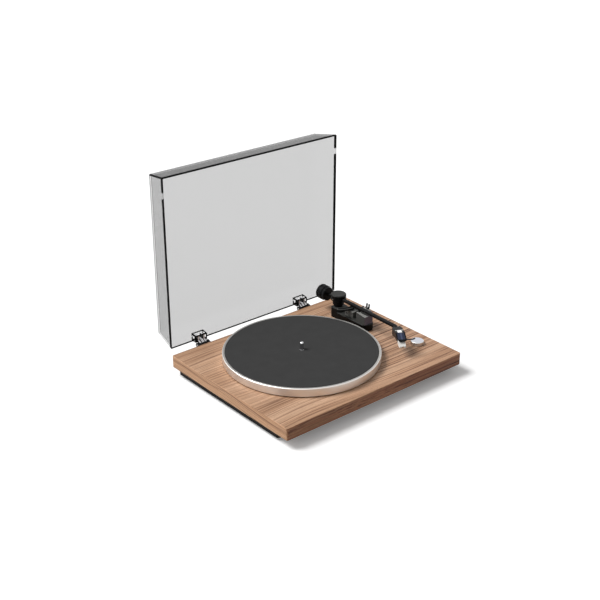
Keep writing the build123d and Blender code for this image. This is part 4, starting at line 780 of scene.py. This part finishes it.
# %% Dress the headshell
def headshell_moulding():
    material, tree, shader = finish("shell_moulding", "161617", 0.3, shine=0.15)
    place = place_on_deck(tree)
    from_bend = measured_from(tree, place, arm_bend_point)
    forward, across = (
        put(tree, "VectorMath", {0: from_bend, 1: line}, operation="DOT_PRODUCT").outputs["Value"]
        for line in (shell_forward, shell_across)
    )
    up = facing_of(tree)["Z"]
    fine = noise(tree, place, shell_grain, rough=0.6)

    # Painted reflection: the sides' brownish cast is the wood, and the slope's blue, lighter along its middle,
    # is a studio light. The black round the slope is painted shade.
    sides_with_painted_reflection = speckled(tree, side_speckle, fine, paint("2A2321"), paint("0C0A0A"))
    slope_painted_reflection = speckled(tree, slope_speckle, fine, paint("363C50"), paint("20242F"))
    slope_painted_reflection = mix(tree, inside(tree, across, painted_highlight_middle, painted_highlight_half_width), slope_painted_reflection, paint("4E5670"))
    inside_painted_dark_edges = all_of(tree, inside(tree, across, 0.0, slope_half_width),
                          inside(tree, forward, slope_middle, slope_half_length))
    slope_painted_reflection = mix(tree, none_of(tree, inside_painted_dark_edges), slope_painted_reflection, paint("050506"))
    tone = mix(tree, above(tree, up, slope_from), sides_with_painted_reflection, slope_painted_reflection)
    tone = mix(tree, above(tree, up, level_from), tone, paint("121213"))
    plate = all_of(tree, inside(tree, forward, plate_middle, plate_half_length),
                   inside(tree, across, 0.0, plate_half_width), above(tree, up, plate_from))
    tone = mix(tree, plate, tone, paint("F6F6F8"))
    lay_on(tree, shader, tone, over_noise(tree, fine, shell_glossiest, shell_dullest))
    relief(tree, shader, fine, shell_depth)
    return material


dress(headshell_moulding(), "headshell")

# %% [markdown]
# ## Cartridge and stylus
# The cartridge is a glossy moulding, nearly black with a blue cast, and the stylus's holder is white. Both
# come from a polished mould, so their grain is coarser and hardly has any depth.

# %% Dress the cartridge
polished = {"grain": 300.0, "depth": 0.00001}
dress(moulded("cartridge_moulding", "0C0F18", 0.2, shine=0.3, **polished), "cartridge")
dress(moulded("stylus_moulding", "FFFDF8", 0.35, shine=0.5, **polished), "stylus_holder")

# %% [markdown]
# ## Circuit board
# A green board, seen only from below with its tray off: solder mask over tracks, which show as slightly
# lighter lines. A brick pattern looks close enough to tracks at this size.

# %% Dress the board
track_sizes = {"Scale": 60.0, "Mortar Size": 0.03}
track_tones = {"Color1": paint("1C5335"), "Color2": paint("20603D"), "Mortar": paint("2F7A50")}
track_depth = 0.00003


def board_laminate():
    material, tree, shader = finish("board_laminate", "1F5A3A", 0.35)
    tracks = put(tree, "TexBrick", {"Vector": place_on_deck(tree), **track_sizes, **track_tones})
    lay_on(tree, shader, tracks.outputs["Color"])
    relief(tree, shader, tracks.outputs["Fac"], track_depth)
    return material


dress(board_laminate(), "circuit_board")

# %% [markdown]
# ## Clear cover
# The cover is a moulding of faintly smoked clear plastic. What stands behind its big plate looks about a third
# darker. Light that runs inside a wall comes out at its edges nearly black, which is why the rim and the outer
# corners show as crisp dark lines. The walls are drawn as a film that lets most light through, and the dark
# lines are painted shade on it, found from where a point lies and which way its face looks.
#
# The left wall faces the lamp and looks clearer than the plate, so its thinner film is painted light, and it
# darkens close to the plate, where the way through the plastic is long, as painted shade. The top wall is seen
# at a slant, so it looks darker than it does from straight above. A clear cover throws hardly any shadow, and
# the photograph shows none, so its shadow is off. Where a pad sits on the rim, the rim stays clear.

# %% The cover's walls
cover_low, cover_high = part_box("dust_cover")
rim = cover_low.y
wall_reach = 0.016

film, left_film_painted_light, sleeve_film = 0.272, 0.155, 0.06
top_depth, least_squareness = 0.31, 0.15
edge_painted_shade, edge_depth = 0.44, 0.0066
edge_line_painted_shade, edge_line_depth = 0.72, 0.0024
turned_left = -0.3
print("cover's rim at y", round(rim, 4), "and its plate's back at y", round(cover_high.y, 4))


def top_wall_film(tree):
    """The share of light that the top wall holds back: the more slanted the view, the more."""
    slant = put(tree, "LayerWeight", {"Blend": 0.5}).outputs["Facing"]
    squareness = math_node(tree, "MAXIMUM", none_of(tree, slant), least_squareness)
    passed = math_node(tree, "EXPONENT", math_node(tree, "DIVIDE", -top_depth, squareness))
    return none_of(tree, passed)


def wall_film(tree, place, facing, on_top):
    near_left = below(tree, place["X"], cover_low.x + wall_reach)
    on_left = all_of(tree, looks_along(tree, facing["X"]), near_left)
    # Painted light: the left wall's film is thinner.
    alpha = spread(tree, on_left, 0.0, 1.0, film, left_film_painted_light)
    alpha = spread(tree, on_top, 0.0, 1.0, alpha, top_wall_film(tree))
    left_side = all_of(tree, below(tree, facing["X"], turned_left), near_left)
    # Painted shade: the film grows denser close to the plate.
    for depth, share in ((edge_depth, edge_painted_shade), (edge_line_depth, edge_line_painted_shade)):
        at_painted_edge_shade = all_of(tree, left_side, above(tree, place["Y"], cover_high.y - depth))
        alpha = one_of(tree, alpha, math_node(tree, "MULTIPLY", at_painted_edge_shade, share))
    return alpha


# %% Painted dark lines on the cover's rim and corners
pad_low, pad_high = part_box("cover_pads")
pad_margin = 0.0008
rim_line, beside_line, over_line = 0.0004, 0.0034, 0.0012
top_line_reach, floor_line_reach, corner_reach = 0.012, 0.006, 0.03
right_rim_clear_from, right_rim_clear_to = 0.0013, 0.004
corner_turn = 0.15
print("rim clear for the pads from z", round(pad_low.z, 4), "to", round(pad_high.z, 4))


def cover_painted_lines(tree, place, facing):
    x, y, z = place
    across, along, up = facing
    right_rim_clear = all_of(tree, above(tree, x, cover_high.x - right_rim_clear_to),
                             below(tree, x, cover_high.x - right_rim_clear_from))
    rim_face = all_of(tree, below(tree, y, rim + rim_line), below(tree, along, -squarely),
                      none_of(tree, right_rim_clear))
    top_face = all_of(tree, above(tree, up, squarely), above(tree, z, cover_high.z - top_line_reach))
    beside_rim = all_of(tree, below(tree, y, rim + beside_line),
                        one_of(tree, below(tree, across, -squarely), top_face))
    over_rim = all_of(tree, below(tree, y, rim + over_line), above(tree, up, squarely),
                      below(tree, z, cover_low.z + floor_line_reach))
    corner = all_of(tree, below(tree, across, -corner_turn), above(tree, up, corner_turn),
                    below(tree, x, cover_low.x + corner_reach), above(tree, z, cover_high.z - corner_reach))
    at_pad = all_of(tree, above(tree, z, pad_low.z - pad_margin), below(tree, z, pad_high.z + pad_margin))
    return all_of(tree, one_of(tree, rim_face, beside_rim, over_rim, corner), none_of(tree, at_pad))


# %% Painted dark lines round the two hinge sleeves
left_hinge, right_hinge = middle("hinge_leaf_left").x, middle("hinge_leaf_right").x
hinges_middle, hinges_half_spacing = (left_hinge + right_hinge) / 2, (right_hinge - left_hinge) / 2
sleeve_half, sleeve_length, sleeve_rise = 0.01325, 0.0136, 0.0022
sleeve_low, sleeve_front_top = cover_low.z, cover_low.z + 0.013
sleeve_line, sleeve_margin, sleeve_top_margin = 0.0024, 0.0002, 0.0003
two_sides_near = 1.5
print("hinges at x", round(left_hinge, 4), "and", round(right_hinge, 4), "sleeves", round(2 * sleeve_half, 4))


def aside_of_hinge(tree, x):
    """How far a point is from the middle of the nearer hinge, either way."""
    return distance(tree, distance(tree, x, hinges_middle), hinges_half_spacing)


def sleeve_painted_lines(tree, place):
    """Two masks: 1 on the sleeves, and 1 near their edges, where two of their sides are close and a dark line
    is painted.
    """
    x, y, z = place
    aside = aside_of_hinge(tree, x)
    behind = math_node(tree, "SUBTRACT", y, rim)
    risen = math_node(tree, "MULTIPLY", behind, sleeve_rise / sleeve_length)
    under_top = math_node(tree, "SUBTRACT", math_node(tree, "ADD", risen, sleeve_front_top), z)
    on_sleeve = all_of(tree, below(tree, aside, sleeve_half + sleeve_margin),
                       below(tree, behind, sleeve_length + sleeve_margin),
                       above(tree, under_top, -sleeve_top_margin))
    side = above(tree, aside, sleeve_half - sleeve_line)
    end = above(tree, distance(tree, behind, sleeve_length / 2), sleeve_length / 2 - sleeve_line)
    level = one_of(tree, below(tree, under_top, sleeve_line), below(tree, z, sleeve_low + sleeve_line))
    sides_near = math_node(tree, "ADD", math_node(tree, "ADD", side, end), level)
    return on_sleeve, all_of(tree, on_sleeve, above(tree, sides_near, two_sides_near))


# %% Dress the cover
clear_rough, line_rough = 0.08, 0.6


def clear_plastic():
    material, tree, shader = finish("clear_plastic", "3A3A3B", clear_rough, shine=0.06)
    place = parts_of(tree, place_on_deck(tree))
    facing = facing_of(tree)
    on_top = all_of(tree, looks_along(tree, facing["Z"]), above(tree, place["Z"], cover_high.z - wall_reach))
    on_sleeve, sleeve_painted_edge = sleeve_painted_lines(tree, place)
    off_sleeve = none_of(tree, on_sleeve)
    line = one_of(tree, all_of(tree, cover_painted_lines(tree, place, facing), off_sleeve), sleeve_painted_edge)

    alpha = spread(tree, on_sleeve, 0.0, 1.0, wall_film(tree, place, facing, on_top), sleeve_film)
    tree.links.new(one_of(tree, alpha, line), shader.inputs["Alpha"])
    wall_tone = mix(tree, on_top, paint("3A3A3B"), paint("404041"))
    # The lines are painted black, as painted shade.
    lay_on(tree, shader, mix(tree, line, wall_tone, black),
           spread(tree, line, 0.0, 1.0, clear_rough, line_rough))
    return material


nodes["dust_cover"].visible_shadow = False
dress(clear_plastic(), "dust_cover")

# %% [markdown]
# ## Hinge leaves and pads
# Each hinge's leaf is seen end on through its sleeve. Its pale tone is painted light, as the light that comes
# through clear plastic, with dark lines where its ribs, its two ends and its foot are. The small pads on the
# cover's side rims are nearly clear, and they keep the rim from knocking on the plinth.

# %% Dress the hinge leaves
rib_at, rib_half, leaf_end_from = 0.0037, 0.0011, 0.0078
foot_from, foot_to = sleeve_low - 0.0035, sleeve_low + 0.0002
leaf_grain, leaf_depth = 1200.0, 0.00003
leaf_glossiest, leaf_dullest = 0.3, 0.42


def leaf_plastic():
    material, tree, shader = finish("leaf_plastic", "E9E9EC", 0.35, shine=0.2)
    place = place_on_deck(tree)
    height = parts_of(tree, place)["Z"]
    aside = aside_of_hinge(tree, parts_of(tree, place)["X"])
    ribs = one_of(tree, inside(tree, aside, rib_at, rib_half), above(tree, aside, leaf_end_from))
    foot = all_of(tree, below(tree, height, foot_to), above(tree, height, foot_from))
    cloud = noise(tree, place, leaf_grain)
    # Painted light: the leaf's pale tone.
    tone = mix(tree, one_of(tree, ribs, foot), paint("E9E9EC"), paint("040404"))
    lay_on(tree, shader, tone, over_noise(tree, cloud, leaf_glossiest, leaf_dullest))
    relief(tree, shader, cloud, leaf_depth)
    return material


dress(leaf_plastic(), "hinge_leaf_left", "hinge_leaf_right")


# %% Dress the pads
pad_grain, pad_depth = 900.0, 0.00004
pad_clearest, pad_densest = 0.12, 0.25


def clear_pad():
    material, tree, shader = finish("clear_pad", "F2F2F2", 0.5)
    cloud = noise(tree, place_on_deck(tree), pad_grain)
    tree.links.new(over_noise(tree, cloud, pad_clearest, pad_densest), shader.inputs["Alpha"])
    relief(tree, shader, cloud, pad_depth)
    return material


dress(clear_pad(), "cover_pads")
